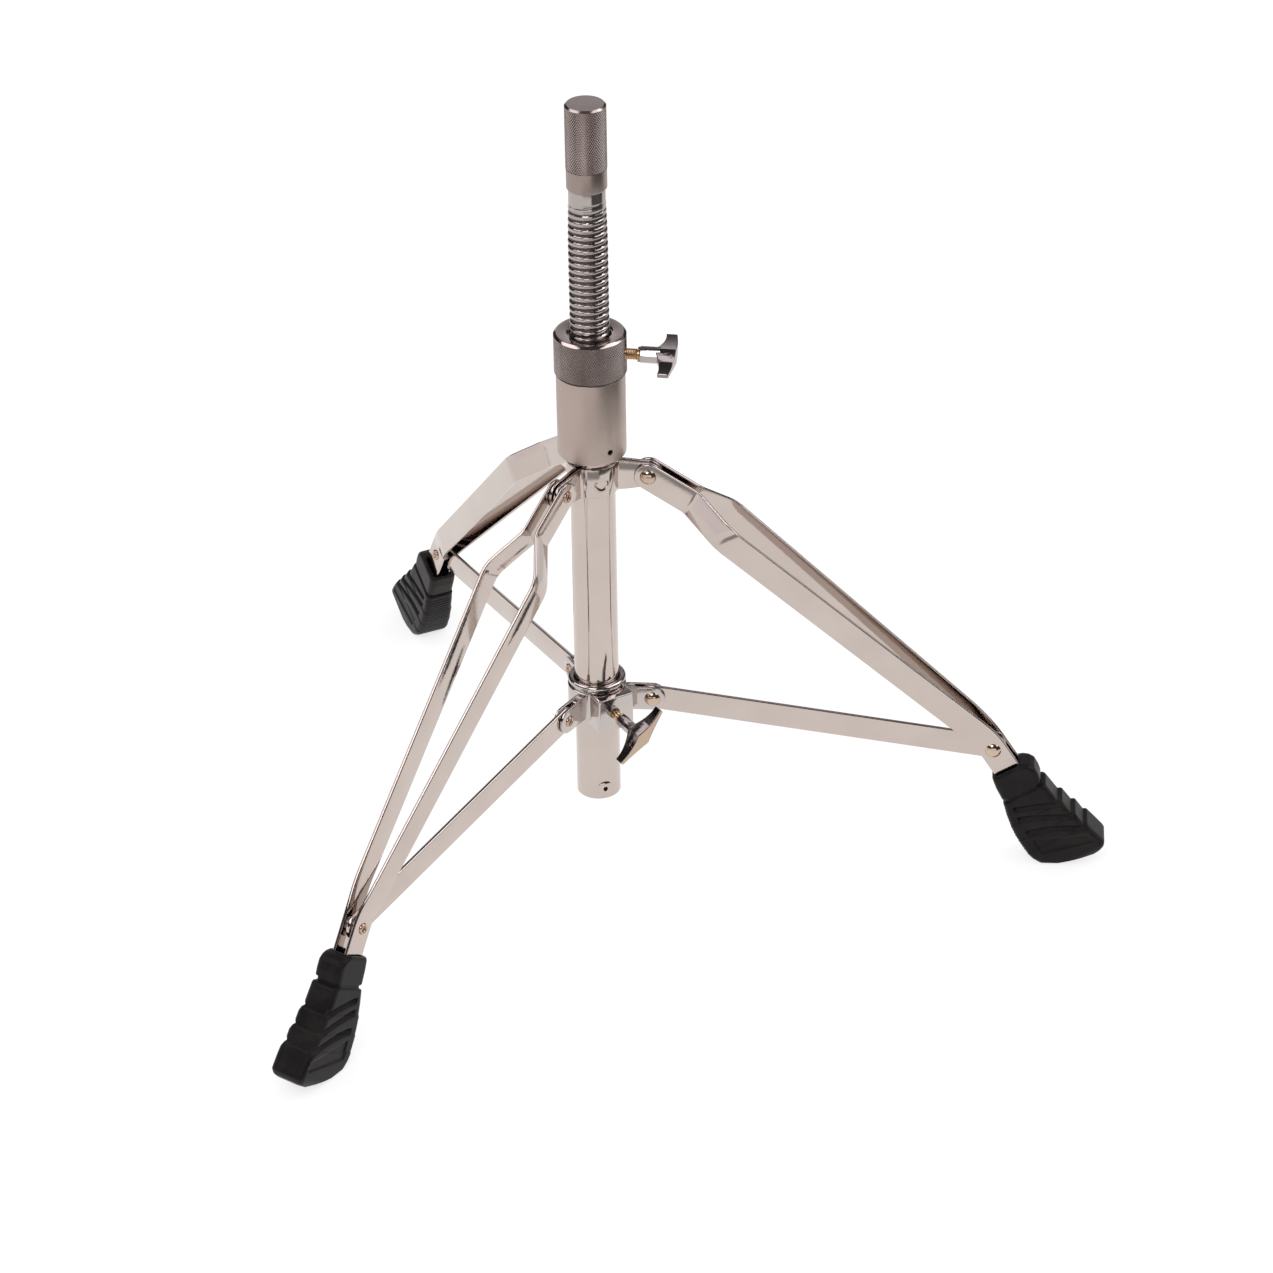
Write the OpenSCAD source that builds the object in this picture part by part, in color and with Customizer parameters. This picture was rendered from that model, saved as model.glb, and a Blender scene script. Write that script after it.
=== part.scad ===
// Tripod base of a drum seat: a threaded seat post in a tube on three folding
// double-strip legs. Millimetres, +Z up. The origin is on the floor, on the
// column's axis. Legs point to 90, 210 and 330 degrees about +Z.

/* [Column] */
// Diameter of the seat post that takes the seat
post_d = 28.6; // [28:0.1:29]
// Height of the seat post's top above the floor
post_top_z = 595; // [590:1:640]
// Length of the seat post
post_len = 62; // [50:1:70]
// Length of the seat post's plain band, below its knurl
post_band = 15; // [5:1:20]
// Outer diameter of the spindle's thread
spindle_d = 27.7; // [26:0.1:28]
// Length of the spindle's thread
thread_len = 290; // [220:1:300]
// Length of the smooth neck under the seat post
neck_len = 7; // [3:1:12]
// Outer diameter of the main tube
tube_d = 32; // [31:0.1:33]
// Wall of the main tube
tube_wall = 1.5; // [1:0.1:1.6]
// Height of the main tube's lower end above the floor
tube_bottom_z = 46; // [30:1:60]
// Height of the main tube's upper end above the floor
tube_top_z = 368; // [360:1:369]

/* [Housing and nut] */
// Outer diameter of the spindle housing
housing_d = 48.4; // [46:0.1:50]
// Lower end of the spindle housing
housing_z = 330; // [328:1:335]
// Length of the spindle housing
housing_len = 63; // [60:1:66]
// Diameter of the knurled height nut
nut_d = 51; // [50:0.1:54]
// Height of the knurled height nut
nut_len = 31; // [26:1:34]
// Direction of the height nut's lock screw, in degrees about +Z
nut_screw_azimuth = 326; // [300:1:350]

/* [Legs] */
// Distance of the legs' upper pivots from the column's axis
upper_pivot_r = 39.5; // [38:0.1:41]
// Height of the legs' upper pivots
upper_pivot_z = 313; // [312:0.5:314]
// Distance of the lower pivots, where legs and braces meet, from the axis
lower_pivot_r = 288; // [286:0.5:290]
// Height of the lower pivots
lower_pivot_z = 93.5; // [93:0.5:94]
// Width of a leg strip
strip_w = 20; // [18:0.5:20]
// Thickness of a leg strip
strip_t = 2.5; // [2:0.1:2.6]
// Distance between the middles of the two strips where they run side by side
strip_pitch = 9.9; // [9.8:0.1:10.4]
// Distance between the middles of the two strips at the bow
bow_pitch = 42.4; // [36:0.1:46]

/* [Collar and braces] */
// Distance of the collar's pivots from the column's axis
collar_pivot_r = 40.5; // [40:0.5:41]
// Height of the collar's pivots
collar_pivot_z = 127; // [126:0.5:128]
// Width of a brace
brace_w = 19; // [17:0.5:19]
// Thickness of a brace
brace_t = 3; // [2.5:0.1:3]
// Direction that the collar's boss faces, in degrees about +Z
clamp_azimuth = 274; // [268:1:278]

/* [T-handles] */
// Distance across a T-handle, tip to tip
handle_span = 48; // [46:1:50]
// Width of a T-handle at its middle
handle_w = 12; // [10:0.5:13]

/* [Hidden] */

$fn = 64;
arc_steps = 24;
back = 90;
left = 210;
right = 330;
legs = [back, left, right];

// Play between a turning or sliding piece and its seat, on the radius
run_play = 0.08;
// Gap between faces that pass each other
face_gap = 0.3;

// Column, from the top down
post_bottom_z = post_top_z - post_len;
post_chamfer = 1.2;
tenon_r = 9;
tenon_len = 42;
neck_r = 12.75;
thread_top_z = post_bottom_z - neck_len;
thread_bottom_z = thread_top_z - thread_len;
spindle_bore_r = spindle_d / 2 + run_play;
tube_r = tube_d / 2;
tube_bore_r = tube_r - tube_wall;
housing_top_z = housing_z + housing_len;
nut_z = housing_top_z + face_gap;
nut_top_z = nut_z + nut_len;
bushing_r = 21;
bushing_z = tube_top_z + 2;
set_screw_r = 2.5;
set_screw_z = housing_z + 9.5;
set_screw_azimuth = 277;
disc_t = 6;
disc_screw_r = 3;
disc_z = thread_bottom_z - disc_t - face_gap;

// Upper pivot brackets
bracket_wall = 2.4;
bracket_r = tube_r + bracket_wall;
bracket_z = 301;
bracket_top_z = 324;
ply_in = 0.9;
ply_out = 3.1;
ear_r = 9.5;

// Collar
collar_bore_r = tube_r + run_play;
collar_r = 21.2;
collar_low_z = collar_pivot_z - 10;
collar_high_z = collar_pivot_z + 12.5;
lip_r = 2.6;
lip_z = collar_pivot_z + 16;
lug_r = 9.3;
lug_in = brace_t / 2 + face_gap;
lug_out = 4;
web_r = 29.5;
boss_face_r = 28.7;
boss_half_w = 14.3;
boss_low_z = collar_pivot_z - 14.5;
boss_high_z = collar_pivot_z + 13;
clamp_z = collar_pivot_z - 3.4;

// Small hole near the lower end of the tube
hole_azimuth = 262;
hole_rise = 8.8;
hole_rim_r = 5.9;
hole_rim_t = 1.2;

// Rivets
rivet_r = 3;
rivet_head_r = 5.8;
rivet_head_t = 2.7;
rolled_r = 4.2;
rolled_t = 1.4;
rolled_bore_r = 1.8;
rolled_bore_len = 3;

// Leg planes: points are [distance from the axis, height]
upper_pivot = [upper_pivot_r, upper_pivot_z];
lower_pivot = [lower_pivot_r, lower_pivot_z];
collar_pivot = [collar_pivot_r, collar_pivot_z];
// Bends of a strip, from the top down: first bend, bow, second bend, last bend
first_bend = [70, 293];
bow_bend = [94, 273];
second_bend = [270.5, 114.5];
last_bend = [283.5, 101];
foot_slope = 57.5;
foot_axis = [cos(foot_slope), -sin(foot_slope)];
foot_side = [sin(foot_slope), cos(foot_slope)];
strip_end_a = 62;
// Flat of the sole, on the floor
sole_inner = [325, 0];
sole_outer = [337, 0];
second_bend_pitch = 15.6;
strip_inner = (strip_pitch - strip_t) / 2;
strip_outer = (strip_pitch + strip_t) / 2;
// The main slope of a leg, along which its strips' bends are laid out
main_run = second_bend - bow_bend;
main_slope = atan2(-main_run[1], main_run[0]);
main_axis = [cos(main_slope), -sin(main_slope)];
main_side = [sin(main_slope), cos(main_slope)];

// The upper pivots are split here: strips outside, bracket ears inside
split_t = strip_inner;

// T-handles, measured outwards from the column's axis
nut_screw_z = nut_z + nut_len / 2 - 0.5;
nut_screw_r = 4;
nut_screw_tip = spindle_d / 2 + 0.6;
nut_handle_start = 34.8;
nut_handle_spin = 8;
clamp_screw_r = 3;
clamp_screw_tip = tube_r + 0.6;
clamp_handle_start = 34;
clamp_handle_spin = 44.5;
nut_handle_depth = 25.6;
nut_stem_flats = 11.4;
nut_arm_depth = 7.8;
clamp_screw_azimuth = 276;
clamp_handle_depth = 30.6;
clamp_stem_flats = 9.4;
clamp_arm_depth = 6.9;
// An arm sweeps back, thins and narrows from the handle's middle to its tip
arm_steps = 8;
arm_sweep = 2.5;
arm_root = 7.7;
arm_tip_half_w = 1.7;

// Place of a leg-plane point along its main slope
function along_main(p) = (p - upper_pivot) * main_axis;

// Leg-plane point of a foot, from its place down the foot's axis and outwards
function foot_point(p) = lower_pivot + p[0] * foot_axis + p[1] * foot_side;

// Turns a drawing of [distance, height] into a plate between two sideways faces
module plate(t0, t1)
  translate([0, t1, 0])
    rotate([90, 0, 0])
      linear_extrude(t1 - t0)
        children();

// A round hole or pin along the sideways direction, through a leg-plane point
module cross_pin(p, r, t0, t1)
  translate([p[0], t0, p[1]])
    rotate([-90, 0, 0])
      cylinder(r = r, h = t1 - t0);

// A round hole or pin that points outwards from the column's axis
module radial_pin(azimuth, z, r, d0, d1)
  rotate([0, 0, azimuth])
    translate([d0, 0, z])
      rotate([0, 90, 0])
        cylinder(r = r, h = d1 - d0);

// Unit vector square to the run between two points, on its left
function left_of(p, q) = [p[1] - q[1], q[0] - p[0]] / norm(q - p);

// Unit-width offset of point i of a bent line, to its left, mitred at a bend
function mitre(points, i) =
  let (last = len(points) - 1)
  let (before = left_of(points[max(i - 1, 0)], points[max(i, 1)]))
  let (after = left_of(points[min(i, last - 1)], points[min(i + 1, last)]))
  (before + after) / (1 + before * after);

// A band of even width along a bent line, with a rounded start if asked
module ribbon(points, width, round_start = false) {
  last = len(points) - 1;
  side = left_of(points[0], points[1]);
  left_angle = atan2(side[1], side[0]);
  polygon(concat(
    [for (i = [0 : last]) points[i] + width / 2 * mitre(points, i)],
    [for (i = [0 : last]) points[last - i] - width / 2 * mitre(points, last - i)],
    [for (i = [1 : round_start ? arc_steps - 1 : 0])
      let (angle = left_angle + 180 - i * 180 / arc_steps)
      points[0] + width / 2 * [cos(angle), sin(angle)]]
  ));
}

// ---- column ----

module seat_post()
  color("silver")
    difference() {
      union() {
        translate([0, 0, post_bottom_z])
          cylinder(r = post_d / 2 - 0.25, h = post_band);
        translate([0, 0, post_bottom_z + post_band])
          cylinder(d = post_d, h = post_len - post_band - post_chamfer);
        translate([0, 0, post_top_z - post_chamfer])
          cylinder(d1 = post_d, d2 = post_d - 2 * post_chamfer, h = post_chamfer);
      }
      translate([0, 0, post_bottom_z - 1])
        cylinder(r = tenon_r, h = tenon_len + 1);
    }

module threaded_spindle()
  color("lightgray")
    difference() {
      union() {
        translate([0, 0, thread_bottom_z])
          cylinder(d = spindle_d, h = thread_len);
        translate([0, 0, thread_top_z])
          cylinder(r = neck_r, h = neck_len);
        translate([0, 0, post_bottom_z])
          cylinder(r = tenon_r, h = tenon_len);
      }
      translate([0, 0, thread_bottom_z - 1])
        cylinder(r = disc_screw_r, h = 21);
    }

module spindle_guide_disc()
  color("ivory")
    translate([0, 0, disc_z])
      difference() {
        cylinder(r = tube_bore_r - run_play, h = disc_t);
        translate([0, 0, -1])
          cylinder(r = disc_screw_r + run_play, h = disc_t + 2);
      }

module guide_disc_screw()
  color("silver") {
    translate([0, 0, disc_z - face_gap])
      cylinder(r = disc_screw_r, h = thread_bottom_z + 20 - disc_z + face_gap);
    translate([0, 0, disc_z - face_gap - 4])
      cylinder(r = 6.5, h = 4, $fn = 6);
  }

module height_nut()
  color("gray")
    difference() {
      union() {
        translate([0, 0, nut_z])
          cylinder(d1 = nut_d - 2, d2 = nut_d, h = 1);
        translate([0, 0, nut_z + 1])
          cylinder(d = nut_d, h = nut_len - 2.8);
        translate([0, 0, nut_top_z - 1.8])
          cylinder(d1 = nut_d, d2 = nut_d - 3.6, h = 1.8);
      }
      translate([0, 0, nut_z - 1])
        cylinder(r = spindle_bore_r, h = nut_len + 2);
      translate([0, 0, nut_top_z - 1.5])
        cylinder(r1 = spindle_bore_r, r2 = spindle_bore_r + 2, h = 2);
      radial_pin(nut_screw_azimuth, nut_screw_z, nut_screw_r + run_play, 10, nut_d);
    }

module spindle_housing()
  color("silver")
    difference() {
      union() {
        translate([0, 0, housing_z])
          cylinder(d1 = housing_d - 2, d2 = housing_d, h = 1);
        translate([0, 0, housing_z + 1])
          cylinder(d = housing_d, h = housing_len - 1.5);
        translate([0, 0, housing_top_z - 0.5])
          cylinder(d1 = housing_d, d2 = housing_d - 1, h = 0.5);
      }
      translate([0, 0, housing_z - 1])
        cylinder(r = tube_r, h = housing_len + 2);
      translate([0, 0, bushing_z])
        cylinder(r = bushing_r, h = housing_len);
      radial_pin(set_screw_azimuth, set_screw_z, set_screw_r, 10, housing_d);
    }

module threaded_bushing()
  color("goldenrod")
    translate([0, 0, bushing_z])
      difference() {
        cylinder(r = bushing_r, h = housing_top_z - bushing_z);
        translate([0, 0, -1])
          cylinder(r = spindle_bore_r, h = housing_top_z - bushing_z + 2);
      }

module housing_set_screw()
  color("dimgray")
    difference() {
      radial_pin(set_screw_azimuth, set_screw_z, set_screw_r, tube_r + 0.1, housing_d / 2 - 1);
      rotate([0, 0, set_screw_azimuth])
        translate([housing_d / 2 - 4, 0, set_screw_z])
          rotate([0, 90, 0])
            cylinder(r = 1.45, h = 5, $fn = 6);
    }

module main_tube()
  color("silver")
    difference() {
      union() {
        translate([0, 0, tube_bottom_z])
          cylinder(r = tube_r, h = tube_top_z - tube_bottom_z);
        // Raised rim around the small hole
        intersection() {
          radial_pin(hole_azimuth, tube_bottom_z + hole_rise, hole_rim_r, tube_r - 1.3, tube_r + 4);
          translate([0, 0, tube_bottom_z])
            cylinder(r = tube_r + hole_rim_t, h = 3 * hole_rise);
        }
      }
      translate([0, 0, tube_bottom_z - 1])
        cylinder(r = tube_bore_r, h = tube_top_z - tube_bottom_z + 2);
      radial_pin(hole_azimuth, tube_bottom_z + hole_rise, 1.7, 5, 22);
    }

// ---- upper pivots ----

module bracket_ear()
  plate(ply_in, ply_out)
    difference() {
      union() {
        polygon([
          [tube_r + 0.6, bracket_z], [tube_r + 0.6, bracket_top_z],
          [upper_pivot_r, upper_pivot_z + ear_r], [upper_pivot_r, upper_pivot_z - ear_r]
        ]);
        translate(upper_pivot)
          circle(r = ear_r);
      }
      translate(upper_pivot)
        circle(r = rivet_r);
    }

// One of three stamped brackets: an arc on the tube with an ear at each end
module bracket_third() {
  ear_angle = asin(ply_out / bracket_r);
  rotate([0, 0, ear_angle - 60])
    translate([0, 0, bracket_z])
      rotate_extrude(angle = 120 - 2 * ear_angle)
        translate([tube_r, 0])
          square([bracket_wall, bracket_top_z - bracket_z]);
  rotate([0, 0, -60])
    bracket_ear();
  rotate([0, 0, 60])
    mirror([0, 1, 0])
      bracket_ear();
}

module upper_brackets()
  color("silver")
    for (azimuth = legs)
      rotate([0, 0, azimuth + 60])
        bracket_third();

// Head of a rivet, on the clockwise side
module rivet_head(p, half_len)
  translate([p[0], -half_len, p[1]])
    rotate([90, 0, 0]) {
      cylinder(r = rivet_head_r, h = rivet_head_t * 0.3);
      translate([0, 0, rivet_head_t * 0.3])
        cylinder(r1 = rivet_head_r, r2 = rivet_head_r - 2.6, h = rivet_head_t * 0.7);
    }

// Rolled end of a rivet, on the other side, with its shank from t_in on
module rolled_end(p, half_len, t_in)
  difference() {
    union() {
      cross_pin(p, rivet_r, t_in, half_len);
      cross_pin(p, rolled_r, half_len, half_len + rolled_t);
    }
    cross_pin(p, rolled_bore_r, half_len + rolled_t - rolled_bore_len, half_len + rolled_t + 1);
  }

module rivet(p, half_len) {
  rivet_head(p, half_len);
  rolled_end(p, half_len, -half_len);
}

module upper_bracket_eyelets()
  color("silver")
    for (azimuth = legs)
      rotate([0, 0, azimuth])
        difference() {
          cross_pin(upper_pivot, rivet_r, -ply_out - 0.1, ply_out + 0.1);
          cross_pin(upper_pivot, rolled_bore_r, -ply_out - 1, ply_out + 1);
        }

// ---- collar and braces ----

module lug_plate()
  plate(lug_in, lug_out)
    difference() {
      union() {
        translate([tube_r + 1, collar_pivot_z - lug_r])
          square([collar_pivot_r - tube_r - 1, 2 * lug_r]);
        translate(collar_pivot)
          circle(r = lug_r);
      }
      translate(collar_pivot)
        circle(r = rivet_r);
    }

module sliding_collar()
  color("lightgray")
    difference() {
      union() {
        translate([0, 0, collar_low_z])
          cylinder(r = collar_r, h = collar_high_z - collar_low_z);
        translate([0, 0, collar_high_z])
          cylinder(r = collar_r - 1.5, h = lip_z - collar_high_z);
        translate([0, 0, lip_z])
          rotate_extrude()
            translate([collar_r - lip_r, 0])
              circle(r = lip_r);
        rotate([0, 0, clamp_azimuth])
          translate([tube_r, -boss_half_w, boss_low_z])
            cube([boss_face_r - tube_r, 2 * boss_half_w, boss_high_z - boss_low_z]);
        for (azimuth = legs)
          rotate([0, 0, azimuth]) {
            lug_plate();
            mirror([0, 1, 0])
              lug_plate();
            translate([tube_r + 1, -lug_out, collar_pivot_z - lug_r])
              cube([web_r - tube_r - 1, 2 * lug_out, 2 * lug_r]);
          }
      }
      translate([0, 0, boss_low_z - 1])
        cylinder(r = collar_bore_r, h = 50);
      radial_pin(clamp_screw_azimuth, clamp_z, clamp_screw_r + run_play, 5, 40);
    }

module collar_rivets()
  color("peru")
    for (azimuth = legs)
      rotate([0, 0, azimuth])
        rivet(collar_pivot, lug_out);

module brace(azimuth) {
  run = lower_pivot - collar_pivot;
  color("silver")
    rotate([0, 0, azimuth])
      plate(-brace_t / 2, brace_t / 2)
        translate(collar_pivot)
          rotate(atan2(run[1], run[0]))
            difference() {
              union() {
                circle(d = brace_w);
                translate([0, -brace_w / 2])
                  square([norm(run), brace_w]);
                translate([norm(run), 0])
                  circle(d = brace_w);
              }
              circle(r = rivet_r + run_play);
              translate([norm(run), 0])
                circle(r = rivet_r + run_play);
            }
}

// ---- legs ----

module strip_side_outline()
  ribbon(
    [upper_pivot, first_bend, bow_bend, second_bend, last_bend, foot_point([strip_end_a, 0])],
    strip_w, round_start = true
  );

// side is 1 for the strip on the counter-clockwise side and -1 for the other
module leg_strip(azimuth, side) {
  path = [
    [-15, strip_pitch / 2],
    [along_main(first_bend), strip_pitch / 2],
    [along_main(bow_bend), bow_pitch / 2],
    [along_main(second_bend), second_bend_pitch / 2],
    [along_main(last_bend), strip_pitch / 2],
    [along_main(foot_point([strip_end_a, 0])) + 20, strip_pitch / 2]
  ];
  color("silver")
    rotate([0, 0, azimuth])
      mirror([0, side < 0 ? 1 : 0, 0])
        difference() {
          intersection() {
            plate(0, 30)
              strip_side_outline();
            translate([upper_pivot_r, 0, upper_pivot_z])
              rotate([0, main_slope, 0])
                linear_extrude(120, center = true)
                  ribbon(path, strip_t);
          }
          cross_pin(upper_pivot, rivet_r, 0, 30);
          cross_pin(lower_pivot, rivet_r, 0, 30);
        }
}

// A rivet through the lower pivot, and the head and rolled end of the upper one
module leg_rivets(azimuth)
  color("peru")
    rotate([0, 0, azimuth]) {
      rivet(lower_pivot, strip_outer);
      rolled_end(upper_pivot, strip_outer, split_t);
      rivet_head(upper_pivot, strip_outer);
      cross_pin(upper_pivot, rivet_r, -strip_outer, -split_t);
    }

module leg_washers(azimuth)
  color("silver")
    rotate([0, 0, azimuth])
      for (side = [0, 1])
        mirror([0, side, 0])
          difference() {
            cross_pin(lower_pivot, 6, brace_t / 2 + face_gap, strip_inner);
            cross_pin(lower_pivot, rivet_r, 0, strip_inner + 1);
          }

// A slice of the foot: an outline in [down the axis, outwards] and a half width
module foot_slice(outline, half_w)
  plate(-half_w, half_w)
    polygon([for (p = outline) foot_point(p)]);

module foot(azimuth)
  color("black")
    rotate([0, 0, azimuth])
      difference() {
        union() {
          // Rim, groove, three steps and the sole block
          foot_slice([[20, -13], [20, 12], [26, 18.6], [38.5, 17.4], [38.5, -15.6]], 10.6);
          foot_slice([[38, 15], [43, 15], [43, -15.8], [38, -15]], 9.8);
          foot_slice([[42.5, 17.8], [61, 19.5], [61, -20.5], [42.5, -16.4]], 11.6);
          foot_slice([[60.5, 21.5], [74.5, 22.8], [74.5, -22.5], [60.5, -20.8]], 12.4);
          foot_slice([[74, 24.8], [87, 26], [87, -22.8], [74, -22.8]], 13.2);
          plate(-14, 14)
            polygon(concat(
              [for (p = [[93, -22], [86.5, -23], [86.5, 27.3], [107, 31.3]]) foot_point(p)],
              [for (p = [[111.5, 28], [112.3, 18], [110, 6]]) foot_point(p)],
              [sole_outer, sole_inner]
            ));
        }
        // Mouth, and the two slots that grip the strips
        foot_slice([[15, -10.8], [15, 13], [31, 15.5], [31, -12]], 8);
        foot_slice([[30, -10.1], [30, 10.1], [40, 10.1], [40, -10.1]], strip_outer + 0.1);
        for (side = [0, 1])
          mirror([0, side, 0])
            plate(strip_inner - 0.1, strip_outer + 0.1)
              polygon([for (p = [[35, -10.1], [35, 10.1], [62.5, 10.1], [62.5, -10.1]]) foot_point(p)]);
      }

// ---- T-handles ----

// Outer face of a T-handle, from its middle (share 0) to a tip (share 1)
function arm_outer(share) = -arm_sweep * share * share;

// Inner edge of a T-handle's arm
function arm_inner(share, depth) = arm_outer(share) - depth - arm_root * pow(1 - share, 1.6);

// Half width of a T-handle's arm
function arm_half_w(share) = arm_tip_half_w + (handle_w / 2 - arm_tip_half_w) * pow(1 - share, 2);

// Points along +X from its stem's start, with its arms along Y
module t_handle(start, face, stem_flats, arm_depth, screw_r, screw_in) {
  stem_end = face - 11;
  tip = handle_span / 2;
  places = [for (i = [-arm_steps : arm_steps]) i / arm_steps];
  difference() {
    union() {
      translate([start, 0, 0])
        rotate([0, 90, 0])
          rotate([0, 0, 22.5])
            cylinder(r = stem_flats / 2 / cos(22.5), h = stem_end - start, $fn = 8);
      intersection() {
        linear_extrude(handle_w, center = true)
          translate([face, 0])
            polygon(concat(
              [for (v = places) [arm_outer(abs(v)), tip * v]],
              [for (v = places) [arm_inner(abs(v), arm_depth), -tip * v]]
            ));
        rotate([90, 0, 90])
          linear_extrude(face + 1)
            polygon(concat(
              [for (v = places) [-tip * v, arm_half_w(abs(v))]],
              [for (v = places) [tip * v, -arm_half_w(abs(v))]]
            ));
      }
    }
    translate([start - 1, 0, 0])
      rotate([0, 90, 0])
        cylinder(r = screw_r, h = screw_in + 1);
  }
}

// Screw along +X with a collar ring against its handle
module handle_screw(tip, start, screw_r, screw_in)
  rotate([0, 90, 0]) {
    translate([0, 0, tip])
      cylinder(r = screw_r, h = start + screw_in - tip);
    translate([0, 0, start - 1.3])
      cylinder(r = screw_r + 1.5, h = 1.3);
  }

module on_nut_screw()
  translate([0, 0, nut_screw_z])
    rotate([0, 0, nut_screw_azimuth])
      children();

module on_clamp_screw()
  translate([0, 0, clamp_z])
    rotate([0, 0, clamp_screw_azimuth])
      children();

module nut_lock_screw()
  color("goldenrod")
    on_nut_screw()
      handle_screw(nut_screw_tip, nut_handle_start, nut_screw_r, 8);

module nut_lock_handle()
  color("lightgray")
    on_nut_screw()
      rotate([nut_handle_spin, 0, 0])
        t_handle(
          nut_handle_start, nut_handle_start + nut_handle_depth,
          nut_stem_flats, nut_arm_depth, nut_screw_r, 8
        );

module collar_clamp_screw()
  color("goldenrod")
    on_clamp_screw()
      handle_screw(clamp_screw_tip, clamp_handle_start, clamp_screw_r, 8);

module collar_clamp_handle()
  color("lightgray")
    on_clamp_screw()
      rotate([clamp_handle_spin, 0, 0])
        t_handle(
          clamp_handle_start, clamp_handle_start + clamp_handle_depth,
          clamp_stem_flats, clamp_arm_depth, clamp_screw_r, 8
        );

seat_post();
threaded_spindle();
spindle_guide_disc();
guide_disc_screw();
height_nut();
nut_lock_screw();
nut_lock_handle();
spindle_housing();
threaded_bushing();
housing_set_screw();
main_tube();
upper_brackets();
upper_bracket_eyelets();
sliding_collar();
collar_rivets();
collar_clamp_screw();
collar_clamp_handle();
brace(back);  // back_brace
brace(left);  // left_brace
brace(right);  // right_brace
leg_strip(back, 1);  // back_leg_strip_a
leg_strip(back, -1);  // back_leg_strip_b
leg_rivets(back);  // back_leg_rivets
leg_washers(back);  // back_leg_washers
foot(back);  // back_foot
leg_strip(left, 1);  // left_leg_strip_a
leg_strip(left, -1);  // left_leg_strip_b
leg_rivets(left);  // left_leg_rivets
leg_washers(left);  // left_leg_washers
foot(left);  // left_foot
leg_strip(right, 1);  // right_leg_strip_a
leg_strip(right, -1);  // right_leg_strip_b
leg_rivets(right);  // right_leg_rivets
leg_washers(right);  // right_leg_washers
foot(right);  // right_foot
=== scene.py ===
import math
from math import cos, pi, radians, sin, tan

import bmesh
import bpy
import numpy as np
from mathutils import Matrix, Vector


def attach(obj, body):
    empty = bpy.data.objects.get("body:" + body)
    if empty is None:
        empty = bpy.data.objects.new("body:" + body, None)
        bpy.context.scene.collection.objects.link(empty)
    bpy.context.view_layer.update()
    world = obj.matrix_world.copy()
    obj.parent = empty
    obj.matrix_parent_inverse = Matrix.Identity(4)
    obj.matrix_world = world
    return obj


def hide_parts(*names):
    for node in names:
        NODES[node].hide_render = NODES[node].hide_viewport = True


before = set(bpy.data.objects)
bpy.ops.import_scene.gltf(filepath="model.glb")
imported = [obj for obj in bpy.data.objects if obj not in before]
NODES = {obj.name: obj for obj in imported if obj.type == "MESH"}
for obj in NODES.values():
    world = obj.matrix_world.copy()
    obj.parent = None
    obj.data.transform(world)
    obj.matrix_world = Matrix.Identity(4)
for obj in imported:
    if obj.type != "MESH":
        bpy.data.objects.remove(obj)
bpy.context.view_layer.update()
MM = 0.001


def link(name, data):
    """A new object in the scene."""
    item = bpy.data.objects.new(name, data)
    bpy.context.scene.collection.objects.link(item)
    return item


# -------- camera
# Angles in degrees. VIEW_TURN turns the camera and the studio about the column.

VIEW_TURN = -24.33
CAMERA_YAW, CAMERA_PITCH, CAMERA_ROLL = 0.666, 31.860, 0.833
CAMERA_PLACE = (0.0, -2.5091, 1.7352)
CAMERA_LENS, CAMERA_SENSOR, CAMERA_REACH = 115.95, 36, 50


def make_camera():
    yaw, pitch, roll = (radians(v) for v in (CAMERA_YAW, CAMERA_PITCH, CAMERA_ROLL))
    turn = Matrix.Rotation(radians(VIEW_TURN), 3, "Z")
    forward = Vector((sin(yaw) * cos(pitch), cos(yaw) * cos(pitch), -sin(pitch)))
    level = Vector((cos(yaw), -sin(yaw), 0))
    right = cos(roll) * level - sin(roll) * level.cross(forward)
    up = right.cross(forward)
    rotation = Matrix((turn @ right, turn @ up, turn @ -forward)).transposed()
    data = bpy.data.cameras.new("camera")
    data.lens = CAMERA_LENS
    data.sensor_fit = "HORIZONTAL"
    data.sensor_width = CAMERA_SENSOR
    data.clip_end = CAMERA_REACH
    camera = link("camera", data)
    camera.matrix_world = Matrix.Translation(turn @ Vector(CAMERA_PLACE)) @ rotation.to_4x4()
    bpy.context.scene.camera = camera


make_camera()
bpy.context.scene.view_settings.view_transform = "Standard"

# -------- materials


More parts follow.
